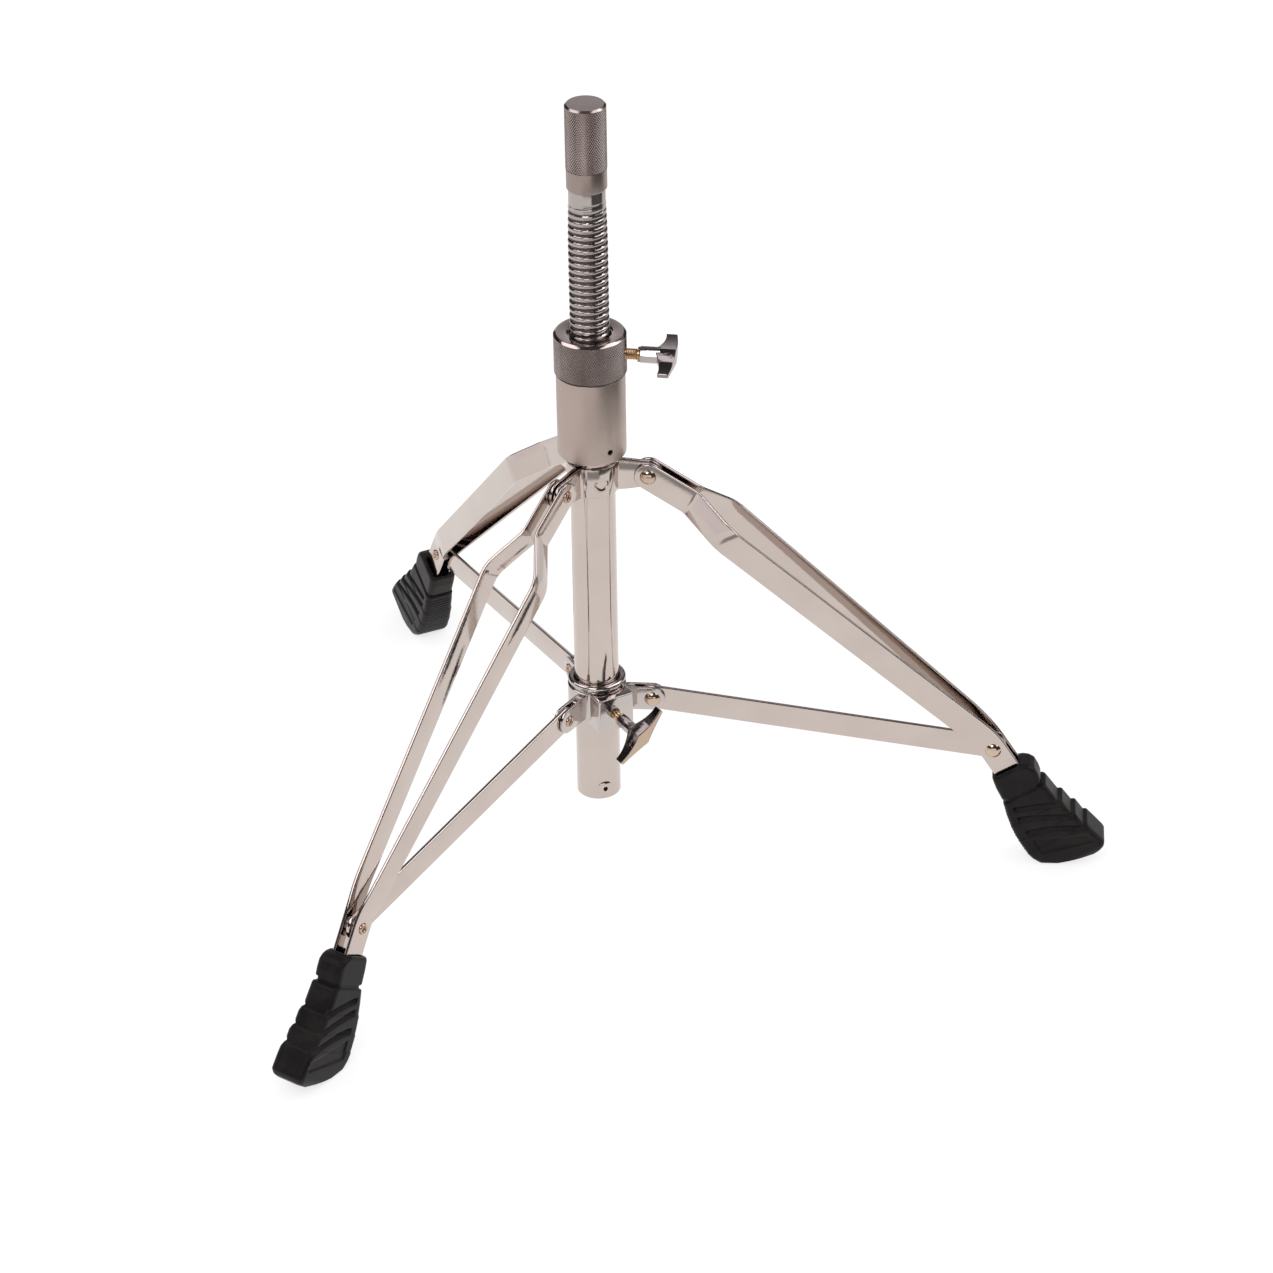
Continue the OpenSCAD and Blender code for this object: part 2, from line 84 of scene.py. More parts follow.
class Tree:
    """Short calls for a node tree."""

    def __init__(self, tree):
        self.tree = tree

    def add(self, kind, inputs=None, **settings):
        node = self.tree.nodes.new(kind)
        for key, value in settings.items():
            setattr(node, key, value)
        for key, value in (inputs or {}).items():
            self.put(node.inputs[key], value)
        return node

    def put(self, socket, value):
        if isinstance(value, bpy.types.NodeSocket):
            self.tree.links.new(value, socket)
        else:
            socket.default_value = value

    def math(self, operation, *values):
        return self.add("ShaderNodeMath", dict(enumerate(values)), operation=operation).outputs[0]

    def times(self, a, b):
        return self.math("MULTIPLY", a, b)

    def rest_of(self, share):
        """One minus a share."""
        return self.math("SUBTRACT", 1.0, share)

    def ramp(self, factor, low, high, start=0.3, end=0.7, smooth=False):
        """A number that runs from low to high as factor runs from start to end."""
        node = self.add(
            "ShaderNodeMapRange",
            {"Value": factor, "From Min": start, "From Max": end, "To Min": low, "To Max": high},
            interpolation_type="SMOOTHSTEP" if smooth else "LINEAR",
        )
        return node.outputs[0]

    def band(self, value, low, high, soft):
        """1 from low to high, with soft edges, and 0 elsewhere."""
        rise = self.ramp(value, 0, 1, low - soft, low + soft, True)
        fall = self.ramp(value, 1, 0, high - soft, high + soft, True)
        return self.times(rise, fall)

    def sector(self, heading, start, end, soft):
        """1 between two headings in degrees, with soft edges in radians."""
        return self.band(heading, radians(start), radians(end), soft)

    def studio_axes(self, vector):
        """A vector's parts towards the front of the studio, to its right and up."""
        x, y, z = self.add("ShaderNodeSeparateXYZ", {0: vector}).outputs
        c, s = cos(radians(VIEW_TURN)), sin(radians(VIEW_TURN))
        front = self.math("SUBTRACT", self.times(x, s), self.times(y, c))
        right = self.math("ADD", self.times(x, c), self.times(y, s))
        return front, right, z

    def glossy_mix(self, others, glossy):
        """One shader for glossy rays, another for the rest."""
        path = self.add("ShaderNodeLightPath")
        shaders = {0: path.outputs["Is Glossy Ray"], 1: others.outputs[0], 2: glossy.outputs[0]}
        return self.add("ShaderNodeMixShader", shaders).outputs[0]


class Nodes(Tree):
    """A material and its node tree."""

    def __init__(self, name):
        self.material = bpy.data.materials.new(name)
        self.material.use_nodes = True
        super().__init__(self.material.node_tree)
        self.shader = self.tree.nodes["Principled BSDF"]

    def set(self, **values):
        """Sets or links the shader's inputs, with _ for each space of their names."""
        for key, value in values.items():
            self.put(self.shader.inputs[key.replace("_", " ")], value)

    def place(self, scale=(1, 1, 1)):
        """Object coordinates in metres, scaled."""
        where = self.add("ShaderNodeTexCoord").outputs["Object"]
        return self.add("ShaderNodeMapping", {"Vector": where, "Scale": scale}).outputs[0]

    def noise(self, scale, detail=3, stretch=(1, 1, 1), rough=0.5):
        settings = {"Scale": scale, "Detail": detail, "Roughness": rough}
        settings["Vector"] = self.place(stretch)
        return self.add("ShaderNodeTexNoise", settings).outputs["Fac"]

    def tint(self, factor, low, high):
        mix = self.add("ShaderNodeMix", data_type="RGBA")
        self.put(mix.inputs[0], factor)
        self.put(mix.inputs[6], (*low, 1))
        self.put(mix.inputs[7], (*high, 1))
        return mix.outputs[2]

    def bump(self, height, distance, strength=1.0):
        settings = {"Height": height, "Distance": distance, "Strength": strength}
        self.set(Normal=self.add("ShaderNodeBump", settings).outputs[0])


def plated(name, low, high, rough=(0.05, 0.12), peel=0.00002, grain=None):
    """Bright plate: faint cloudy tint and uneven gloss, with a slight orange peel.

    grain gives the scale, stretch and depth of a lathe's grain in place of the peel.
    """
    m = Nodes(name)
    clouds, gloss = m.noise(28, 4), m.noise(90, 5)
    m.set(Metallic=1.0)
    m.set(Base_Color=m.tint(m.ramp(clouds, 0, 1), low, high), Roughness=m.ramp(gloss, *rough))
    if grain:
        scale, stretch, depth = grain
        m.bump(m.noise(scale, 3, stretch), depth)
    else:
        m.bump(m.noise(420, 2), peel)
    return m.material


def satin(name, low, high, rough, stretch=(1, 1, 1)):
    """Satin plate: fine turned lines that spread the highlight."""
    m = Nodes(name)
    lines = m.noise(900, 6, stretch, 0.7)
    m.set(Metallic=1.0)
    m.set(Base_Color=m.tint(m.ramp(lines, 0, 1, 0.25, 0.75), low, high))
    m.set(Roughness=m.ramp(m.noise(60, 4), *rough))
    m.bump(lines, 0.00006)
    return m.material


def rubber(name):
    """Moulded rubber: near black, soft sheen, fine pebbled skin and paler scuffs."""
    m = Nodes(name)
    scuff, skin = m.noise(55, 6, rough=0.65), m.noise(2600, 3)
    paler = m.ramp(scuff, 0, 1, 0.45, 0.8)
    m.set(Base_Color=m.tint(paler, (0.006, 0.005, 0.0048), (0.017, 0.0145, 0.0135)))
    m.set(Roughness=m.ramp(scuff, 0.34, 0.52))
    m.bump(skin, 0.00006, 0.6)
    m.set(Specular_IOR_Level=0.14, Sheen_Weight=0.08, Sheen_Roughness=0.4)
    return m.material


def nylon(name):
    """Moulded nylon: off-white, slightly translucent."""
    m = Nodes(name)
    m.set(Base_Color=m.tint(m.ramp(m.noise(40, 4), 0, 1), (0.62, 0.60, 0.54), (0.74, 0.72, 0.66)))
    m.set(Roughness=m.ramp(m.noise(200, 4), 0.4, 0.55))
    m.bump(m.noise(1500, 2), 0.00004)
    m.set(Subsurface_Weight=0.1)
    return m.material


CHROME = plated("bright_chrome", (0.56, 0.485, 0.45), (0.60, 0.53, 0.49))
TUBE = plated(
    "tube_chrome", (0.56, 0.49, 0.45), (0.60, 0.53, 0.49), (0.06, 0.12),
    grain=(500, (1, 1, 0.05), 0.00003),
)
CAST = plated("cast_chrome", (0.50, 0.45, 0.43), (0.60, 0.55, 0.53), (0.06, 0.16), 0.00008)
HANDLE = plated("handle_chrome", (0.40, 0.36, 0.35), (0.48, 0.44, 0.43), (0.08, 0.18), 0.00006)
# The dark copy of the handle chrome is a painted dark reflection, given to the arms of both
# T-handles.
HANDLE_PAINTED_DARK = plated(
    "handle_chrome_painted_dark", (0.22, 0.19, 0.185), (0.30, 0.265, 0.26), (0.06, 0.14), 0.00006,
)
# The tan copy of the handle chrome is a painted reflection, given to the outer face of the collar's
# T-handle.
HANDLE_PAINTED_TAN = plated(
    "handle_face_painted_tan", (0.50, 0.385, 0.29), (0.58, 0.45, 0.345), (0.10, 0.2), 0.00006,
)
THREAD = plated("thread_chrome", (0.40, 0.355, 0.34), (0.47, 0.425, 0.41), (0.08, 0.18), 0.00003)
# Dark satin for the thread's roots and the nut's lower chamfer: painted shade.
PAINTED_SHADE = satin("painted_shade_satin", (0.05, 0.043, 0.042), (0.12, 0.10, 0.095), (0.3, 0.45))
KNURL = plated("knurled_chrome", (0.46, 0.395, 0.375), (0.58, 0.51, 0.49), (0.07, 0.14), 0.00003)
POST_BAND = satin(
    "turned_band", (0.31, 0.25, 0.225), (0.37, 0.30, 0.275), (0.28, 0.38), (0.3, 0.3, 8),
)
NUT = plated("nut_plate", (0.40, 0.35, 0.33), (0.50, 0.44, 0.42), (0.12, 0.25), 0.00003)
SATIN = satin(
    "satin_housing", (0.42, 0.34, 0.305), (0.50, 0.415, 0.375), (0.30, 0.42), (1.6, 1.6, 4),
)
YELLOW = plated("yellow_zinc", (0.50, 0.32, 0.17), (0.68, 0.49, 0.31), (0.16, 0.3), 0.00004)
RIVET = plated("rivet_plate", (0.52, 0.40, 0.30), (0.66, 0.53, 0.42), (0.08, 0.2), 0.00004)
ROLLED = plated("rolled_rivet", (0.40, 0.26, 0.18), (0.62, 0.46, 0.36), (0.12, 0.3), 0.00006)
ZINC = satin("plain_zinc", (0.45, 0.44, 0.43), (0.58, 0.57, 0.56), (0.25, 0.4))
# Near black for the tube's bore and the disc inside its hole: painted shade of the hollow tube.
BORE_SHADE = satin("painted_bore_shade", (0.035, 0.03, 0.028), (0.07, 0.06, 0.055), (0.4, 0.6))
BLACK_OXIDE = satin("black_oxide", (0.03, 0.03, 0.03), (0.06, 0.06, 0.06), (0.35, 0.5))
RUBBER = rubber("moulded_rubber")
NYLON = nylon("nylon")

# -------- mesh tools
# Points are in millimetres until Mesh.data() makes the Blender mesh.


def smooth(data, sharp):
    """Smooth shading, except across edges sharper than an angle in degrees."""
    data.shade_smooth()
    data.set_sharp_from_angle(angle=radians(sharp))


class Mesh:
    """Points and faces that several shapes are gathered into."""

    def __init__(self):
        self.points = []
        self.faces = []
        self.slots = []
        self.count = 0

    def add(self, points, faces, slot=0, place=None):
        points = np.asarray(points, float).reshape(-1, 3)
        if place is not None:
            points = place(points)
        self.points.append(points)
        self.faces += [tuple(int(i) + self.count for i in f) for f in faces]
        self.slots += [slot] * len(faces)
        self.count += len(points)
        return self

    def data(self, name, materials=()):
        """The Blender mesh, with near points merged and its faces turned outwards."""
        data = bpy.data.meshes.new(name)
        data.from_pydata((np.concatenate(self.points) * MM).tolist(), [], self.faces)
        for material in materials:
            data.materials.append(material)
        data.polygons.foreach_set("material_index", self.slots)
        work = bmesh.new()
        work.from_mesh(data)
        near = 0.002 * MM
        bmesh.ops.remove_doubles(work, verts=work.verts, dist=near)
        bmesh.ops.dissolve_degenerate(work, dist=near / 2, edges=work.edges)
        bmesh.ops.recalc_face_normals(work, faces=work.faces)
        work.to_mesh(data)
        work.free()
        return data

    def build(self, name, body, materials, slot, replaces=(), sharp=32):
        data = self.data(name, materials)
        smooth(data, sharp)
        piece = link(name, data)
        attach(piece, body)
        if replaces:
            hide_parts(*replaces)
        return piece


def rotated(x, y, angle):
    c, s = cos(radians(angle)), sin(radians(angle))
    return x * c - y * s, x * s + y * c


def axis_place(azimuth):
    """Puts x outwards along an azimuth, y counter-clockwise from it and z up."""
    return lambda p: np.stack([*rotated(p[:, 0], p[:, 1], azimuth), p[:, 2]], 1)


def leg_place(azimuth, centre, side):
    """Puts a lathe's axis along the sideways direction of a leg, pointing to side."""
    turn = axis_place(azimuth)
    return lambda p: turn(np.stack([p[:, 0] + centre[0], side * p[:, 2], p[:, 1] + centre[1]], 1))


def out_place(azimuth, z, spin=0.0):
    """Puts a lathe's axis along a radial direction, turned about itself by spin."""
    turn = axis_place(azimuth)

    def place(p):
        across, up = rotated(p[:, 0], p[:, 1], spin)
        return turn(np.stack([p[:, 2], across, up + z], 1))

    return place


def smoothstep(t):
    t = np.clip(t, 0, 1)
    return t * t * (3 - 2 * t)


def units(vectors):
    return vectors / np.linalg.norm(vectors, axis=1)[:, None]


def arc(centre, radius, start, end, steps):
    """Points on a circle from one angle to another, in degrees."""
    return [
        (centre[0] + radius * cos(a), centre[1] + radius * sin(a))
        for a in np.radians(np.linspace(start, end, steps + 1))
    ]


def fillet(points, radius, steps, closed=False):
    """A bent line with its corners rounded. radius is one number or one for each point."""
    points = [np.asarray(p, float) for p in points]
    count = len(points)
    radii = [radius] * count if np.isscalar(radius) else list(radius)
    nearly_straight = radians(89)
    out = []
    for i, p in enumerate(points):
        if (not closed and i in (0, count - 1)) or radii[i] <= 0:
            out.append(p)
            continue
        before, after = points[i - 1] - p, points[(i + 1) % count] - p
        la, lb = np.linalg.norm(before), np.linalg.norm(after)
        u, v = before / la, after / lb
        half = math.acos(max(-1.0, min(1.0, float(u @ v)))) / 2
        if half > nearly_straight:
            out.append(p)
            continue
        back = min(radii[i] / tan(half), 0.49 * la, 0.49 * lb)
        centre = p + (u + v) / np.linalg.norm(u + v) * (back / cos(half))
        a, b = p + u * back - centre, p + v * back - centre
        sweep = pi - 2 * half
        for t in np.arange(steps + 1) / steps:
            arm = sin((1 - t) * sweep) * a + sin(t * sweep) * b
            out.append(centre + arm / sin(sweep))
    return np.array(out)


def grid_faces(rows, columns):
    """The faces between closed rings of points."""
    return [
        (i + j, i + (j + 1) % columns, i + columns + (j + 1) % columns, i + columns + j)
        for i in range(0, (rows - 1) * columns, columns)
        for j in range(columns)
    ]


def at_height(ring, z):
    return np.column_stack([ring, np.full(len(ring), z)])


def lathe(profile, count, close=False):
    """Turns a line of (radius, height) about the axis. close joins its end to its start."""
    profile = np.asarray(profile, float)
    angles = np.arange(count) * 2 * pi / count
    ring = np.stack([np.cos(angles), np.sin(angles)], 1)
    points = np.concatenate([at_height(ring * r, z) for r, z in profile])
    faces = grid_faces(len(profile), count)
    if close:
        last = (len(profile) - 1) * count
        faces += [(last + j, last + (j + 1) % count, (j + 1) % count, j) for j in range(count)]
    return points, faces


def loft(rings, caps=(True, True)):
    """Skins rings of equal length."""
    rings = [np.asarray(r, float) for r in rings]
    count = len(rings[0])
    faces = grid_faces(len(rings), count)
    if caps[0]:
        faces.append(tuple(range(count))[::-1])
    if caps[1]:
        start = (len(rings) - 1) * count
        faces.append(tuple(range(start, start + count)))
    return np.concatenate(rings), faces


def inset(outline, distance):
    """A closed outline moved inwards, for outlines that run counter-clockwise."""
    outline = np.asarray(outline, float)
    before = units(outline - np.roll(outline, 1, 0))
    after = units(np.roll(outline, -1, 0) - outline)
    before, after = (np.stack([-v[:, 1], v[:, 0]], 1) for v in (before, after))
    scale = 1 + np.sum(before * after, 1)
    return outline + distance * (before + after) / scale[:, None]


def slab(outline, low, high, edge):
    """A plate with rounded edges, its outline in x and y and its thickness along z."""
    rings = []
    turns = [pi / 2 * k / 3 for k in range(4)]
    for height, side, angles in ((low, 1, turns), (high, -1, turns[::-1])):
        for angle in angles:
            ring = inset(outline, edge * (1 - sin(angle)))
            rings.append(at_height(ring, height + side * edge * (1 - cos(angle))))
    return loft(rings)


def upright(points):
    """Puts a slab's outline in [distance, height] and its thickness sideways."""
    return np.stack([points[:, 0], points[:, 2], points[:, 1]], 1)


def rounded_corners(steps):
    """The four corners of a section: the signs of each and the angles around it."""
    for corner, signs in enumerate(((1, 1), (-1, 1), (-1, -1), (1, -1))):
        for k in range(steps + 1):
            yield (*signs, pi / 2 * (corner + k / steps))


def knurl(radius, depth, low, high, around, tall, flat):
    """Diamond pyramids on a cylinder: around of them in a ring, each about tall high.

    flat is the share of each pyramid that its cut-off top takes.
    """
    rows = max(2, 2 * round((high - low) / tall))
    step = (high - low) / rows
    points, faces, index = [], [], {}

    def point(i, j, r):
        # i counts half pitches around, j counts half heights up
        angle = pi * i / around
        points.append((r * cos(angle), r * sin(angle), low + j * step))
        return len(points) - 1

    def root(i, j):
        key = (i % (2 * around), j)
        if key not in index:
            index[key] = point(i, j, radius - depth)
        return index[key]

    for j in range(rows + 1):
        for i in range(j % 2, 2 * around, 2):
            # A diamond centred on (i, j), with its corners a half pitch away
            corners = [(i - 1, j), (i, j - 1), (i + 1, j), (i, j + 1)]
            outer = [root(a, min(max(b, 0), rows)) for a, b in corners]
            inner = [
                point(i + (a - i) * flat, min(max(j + (b - j) * flat, 0), rows), radius)
                for a, b in corners
            ]
            for k in range(4):
                n = (k + 1) % 4
                faces.append((outer[k], outer[n], inner[n], inner[k]))
            faces.append(tuple(inner))
    return points, faces


def helix(low, high, pitch, around, per_turn):
    """A grid on a right-hand thread: heights, angles and shares of a turn."""
    rows = int(round((high - low) / pitch * per_turn)) + 1
    angles = np.arange(around) * 2 * pi / around
    z, a = np.meshgrid(np.linspace(low, high, rows), angles, indexing="ij")
    return z, a, (z / pitch - a / (2 * pi)) % 1.0


def round_grid(z, a, r):
    """Skins a grid of heights, angles and radii."""
    points = np.stack([r * np.cos(a), r * np.sin(a), z], -1).reshape(-1, 3)
    return points, grid_faces(*z.shape)


def domed(outer, inner, count, steepness):
    """Radii from outer to inner, and their rise over slopes of (radius, degrees)."""
    radii = np.linspace(outer, inner, count)
    slope = np.tan(np.radians(np.interp(radii, *zip(*steepness))))
    rise = np.cumsum((slope[1:] + slope[:-1]) / 2 * -np.diff(radii))
    return radii, np.r_[0, rise]


def hug(points, radius):
    """Lifts a lathe's points onto a cylinder, for a shape that out_place() will put on it."""
    points[:, 2] += np.sqrt(radius ** 2 - points[:, 0] ** 2)
    return points


def bored(piece, azimuth, z, radius, low, high):
    """Cuts a round hole that points outwards from the column."""
    profile = [(0, low), (radius, low), (radius, high), (0, high)]
    cutter = Mesh().add(*lathe(profile, 40), place=out_place(azimuth, z))
    tool = link("cutter", cutter.data("cutter"))
    modifier = piece.modifiers.new("hole", "BOOLEAN")
    modifier.object = tool
    modifier.solver = "EXACT"
    bpy.context.view_layer.update()
    cut = piece.evaluated_get(bpy.context.evaluated_depsgraph_get())
    result = bpy.data.meshes.new_from_object(cut)
    piece.modifiers.clear()
    old = piece.data
    piece.data = result
    bpy.data.meshes.remove(old)
    bpy.data.objects.remove(tool)
    smooth(result, 30)


# -------- dimensions, as in the CAD
# Pivots are [distance, height] in a leg's own plane.

LEGS = {"back": 90.0, "left": 210.0, "right": 330.0}
POST_R, POST_TOP, POST_LOW, BAND_TOP = 14.3, 595.0, 533.0, 548.0
THREAD_R, THREAD_TOP, THREAD_LOW, PITCH = 13.85, 526.0, 236.0, 5.15
NECK_R, TENON_R, TENON_TOP = 12.75, 9, POST_LOW + 40
NUT_LOW, NUT_TOP, NUT_R, NUT_BORE_R = 393.3, 424.3, 25.5, 14.2
HOUSING_LOW, HOUSING_TOP, HOUSING_R = 330.0, 393.0, 24.2
BUSHING_LOW, BUSHING_R = 370.0, 21.05
SET_SCREW_AZIMUTH, SET_SCREW_HOLE_R = 277, 2.1
TUBE_R, TUBE_LOW, TUBE_TOP, TUBE_WALL = 16.0, 46.0, 368.0, 1.5
HOLE_AZIMUTH, HOLE_Z, HOLE_R, HOLE_RIM_R = 262.3, 55.0, 1.72, 5.85
UPPER, LOWER, COLLAR = np.array([39.5, 313.0]), np.array([288.0, 93.5]), np.array([40.5, 127.0])
BRACKET_LOW, BRACKET_HIGH, BRACKET_WALL, EAR_R = 301.0, 324.0, 2.2, 9.5
MARK_AZIMUTH, MARK_Z = 266, 311.2
STRIP_MID, STRIP_HALF, STRIP_T = 4.95, 10, 2.5
BRACE_HALF, BRACE_T = 9.5, 3.0
FOOT_SLOPE = radians(57.5)
FOOT_DOWN = np.array([cos(FOOT_SLOPE), -sin(FOOT_SLOPE)])
FOOT_OUT = np.array([sin(FOOT_SLOPE), cos(FOOT_SLOPE)])
COLLAR_R, COLLAR_BORE_R, COLLAR_LOW, COLLAR_HIGH, COLLAR_LIP = 21.2, 16.1, 117.0, 139.5, 143.0
LUG_R, PIN_R = 9.3, 3

# -------- spindle and seat post


def make_seat_post():
    mesh = Mesh()
    knurl_low, knurl_high, knurl_end_r = BAND_TOP + 0.2, POST_TOP - 1.6, POST_R - 0.45
    cap = [
        (knurl_end_r, knurl_high), (POST_R - 0.1, knurl_high + 0.3),
        (POST_R - 1.3, POST_TOP - 0.15), (POST_R - 1.5, POST_TOP), (8, POST_TOP), (0, POST_TOP),
    ]
    mesh.add(*lathe(cap, 160), slot=2)
    mesh.add(*knurl(POST_R, 0.62, knurl_low, knurl_high, around=54, tall=2.5, flat=0.1))
    band = [(9.2, POST_LOW + 0.2), (12.6, POST_LOW)]
    band += arc((12.5, POST_LOW + 1.5), 1.5, -90, 0, 5)
    band += [(14.0, BAND_TOP - 0.5), (13.9, BAND_TOP), (knurl_end_r, knurl_low)]
    mesh.add(*lathe(band, 128), slot=1)
    materials = [KNURL, POST_BAND, NUT]
    mesh.build("seat_post_body", "spindle", materials, "knurled_steel", ["seat_post"], 25)


def make_spindle():
    around, per_turn, depth, root_sag, crest_share = 72, 14, 1.35, 0.12, 0.62
    run_out, lead_in = 34, 3
    z, a, phase = helix(THREAD_LOW, THREAD_TOP, PITCH, around, per_turn)
    # Round crest over most of the pitch, narrow round root between
    off = np.abs(phase - 0.5) * 2
    crest = np.clip(off / crest_share, 0, 1)
    r = THREAD_R - depth * (1 - np.sqrt(np.clip(1 - crest ** 3.2, 0, 1)))
    root = np.clip((off - crest_share) / (1 - crest_share), 0, 1)
    r = np.where(crest >= 1, THREAD_R - depth - root_sag * np.sin(root * pi / 2), r)
    fade = np.clip((THREAD_TOP - z) / run_out, 0, 1) ** 0.55
    fade = fade * np.clip((z - THREAD_LOW) / lead_in, 0, 1)
    mesh = Mesh().add(*round_grid(z, a, NECK_R + (r - NECK_R) * fade))
    # The faces of the root take a dark material, painted shade, away from the run-out
    middle = (phase[:-1] + 0.5 / per_turn) % 1.0
    painted_shade_faces = (np.abs(middle - 0.5) * 2 > 0.66) & (fade[:-1] > 0.45)
    mesh.slots = [int(v) for v in painted_shade_faces.reshape(-1)]
    neck = [
        (NECK_R, THREAD_TOP), (NECK_R, POST_LOW + 0.05), (TENON_R, POST_LOW + 0.1),
        (TENON_R, TENON_TOP), (0, TENON_TOP),
    ]
    mesh.add(*lathe(neck, around))
    # Lower end, with the hole of the guide disc's screw
    end = [(0, THREAD_LOW + 12), (3.1, THREAD_LOW + 12), (3.1, THREAD_LOW + 0.6)]
    end += [(3.6, THREAD_LOW), (11.2, THREAD_LOW), (NECK_R, THREAD_LOW)]
    mesh.add(*lathe(end, around))
    materials = [THREAD, PAINTED_SHADE]
    mesh.build("spindle_thread", "spindle", materials, "thread_steel", ["threaded_spindle"], 45)


def make_nut():
    mesh = Mesh()
    low, high, sides = NUT_LOW + 1.0, NUT_TOP - 1.9, 192
    top = [
        (NUT_R - 0.5, high), (NUT_R - 0.1, high + 0.3), (NUT_R - 1.7, NUT_TOP - 0.12),
        (NUT_R - 1.95, NUT_TOP), (16.6, NUT_TOP), (16.1, NUT_TOP - 0.15),
        (14.3, NUT_TOP - 1.6), (NUT_BORE_R, NUT_TOP - 3),
        (NUT_BORE_R, NUT_LOW + 1), (14.8, NUT_LOW), (NUT_R - 2.0, NUT_LOW),
    ]
    mesh.add(*lathe(top, sides), slot=1)
    # The lower chamfer takes the dark satin: a painted shadow line under the nut.
    mesh.add(*lathe([(NUT_R - 2.0, NUT_LOW), (NUT_R - 0.62, low)], sides), slot=2)
    mesh.add(*knurl(NUT_R, 0.72, low, high, around=94, tall=2.95, flat=0.1))
    materials = [NUT, CHROME, PAINTED_SHADE]
    mesh.build("height_nut_body", "nut", materials, "nut_steel", ["height_nut"], 25)


# -------- housing and tube


def make_housing():
    low, high, r, bore = HOUSING_LOW, HOUSING_TOP, HOUSING_R, TUBE_R + 0.05
    profile = arc((r - 1.8, low + 1.8), 1.8, -90, 0, 6) + arc((r - 0.5, high - 0.5), 0.5, 0, 90, 3)
    profile += [(BUSHING_R, high), (BUSHING_R, BUSHING_LOW), (bore, BUSHING_LOW)]
    profile += [(bore, low + 0.8), (17, low)]
    mesh = Mesh().add(*lathe(profile, 128, close=True))
    piece = mesh.build("housing_sleeve", "base", [SATIN], "satin_steel", ["spindle_housing"])
    bored(piece, SET_SCREW_AZIMUTH, low + 9.5, SET_SCREW_HOLE_R, 18, 30)


def make_tube():
    count, bore = 144, TUBE_R - TUBE_WALL
    outer = [(TUBE_R - 0.4, TUBE_LOW), (TUBE_R, TUBE_LOW + 0.5)]
    outer += [(TUBE_R, z) for z in (90, 150, 210, 270, 330)]
    outer += [(TUBE_R, TUBE_TOP - 0.4), (TUBE_R - 0.3, TUBE_TOP)]
    inner = [(bore, TUBE_TOP), (bore, TUBE_LOW + 0.5), (bore + 0.2, TUBE_LOW)]
    points, faces = lathe(outer + inner, count, close=True)
    mesh = Mesh().add(points, faces)
    bore_start = len(outer) * count
    # The bore's faces take the near-black material, painted shade.
    mesh.slots = [int(min(f) >= bore_start) for f in faces]
    piece = mesh.build("column_tube", "base", [TUBE, BORE_SHADE], "tube_chrome", ["main_tube"], 28)
    bored(piece, HOLE_AZIMUTH, HOLE_Z, HOLE_R, 8, 20)
    # The hole's rim, domed and following the tube's curve, and a dark disc that closes the hole's
    # inner end: painted shade of the hollow tube
    crest_r, rim_height, buried = 2.1, 1.0, -0.8
    radii, rise = domed(HOLE_RIM_R, crest_r, 16, [(crest_r, 0), (3.4, 12), (HOLE_RIM_R, 46)])
    ring = [(HOLE_RIM_R, buried)]
    ring += [(r, 0.1 + h) for r, h in zip(radii, rise * (rim_height / rise[-1]))]
    ring += [(HOLE_R + 0.03, 0.9), (HOLE_R + 0.03, buried)]
    points, faces = lathe(ring, 64)
    place = out_place(HOLE_AZIMUTH, HOLE_Z)
    rim = Mesh().add(hug(points, TUBE_R), faces, place=place)
    rim.add(*lathe([(0, 14.6), (2.4, 14.6), (2.4, 13.9), (0, 13.9)], 32), slot=1, place=place)
    rim.build("tube_hole_rim", "base", [TUBE, BORE_SHADE], "tube_chrome", sharp=50)


# -------- upper brackets


def bracket_plan():
    """Middle line of one third of the band: ear, bend, arc on the tube, bend, ear."""
    lateral, bend, middle = 2.0, 3.2, TUBE_R + BRACKET_WALL / 2 + 0.05
    start = math.degrees(math.asin((lateral + bend) / (middle + bend)))
    bend_at = (middle + bend) * cos(radians(start))
    plan = [(x, lateral) for x in np.linspace(UPPER[0], bend_at + 0.2, 12)]
    plan += arc((bend_at, lateral + bend), bend, 270, 180 + start, 6)
    plan += arc((0, 0), middle, start + 1.5, 60, 18)
    # The second half mirrors the first about the line at 60 degrees
    c, s = cos(radians(120)), sin(radians(120))
    return np.array(plan + [(x * c + y * s, x * s - y * c) for x, y in plan[-2::-1]])


def bracket_ring(p, normal, bottom, top):
    """A section of the band across its plan line, with rounded edges."""
    edge = 0.7
    out = []
    for side, upper, angle in rounded_corners(3):
        across = side * (BRACKET_WALL / 2 - edge) + edge * cos(angle)
        z = (top - edge if upper > 0 else bottom + edge) + edge * sin(angle)
        out.append((*(p + normal * across), z))
    return out


def bracket_heights(p):
    """The band's edges, from its height at the tube to the round ear at the pivot."""
    share = smoothstep((math.hypot(*p) - 18.0) / (UPPER[0] - 18.0))
    bottom = BRACKET_LOW + (UPPER[1] - EAR_R - BRACKET_LOW) * share
    return bottom, BRACKET_HIGH + (UPPER[1] + EAR_R - BRACKET_HIGH) * share


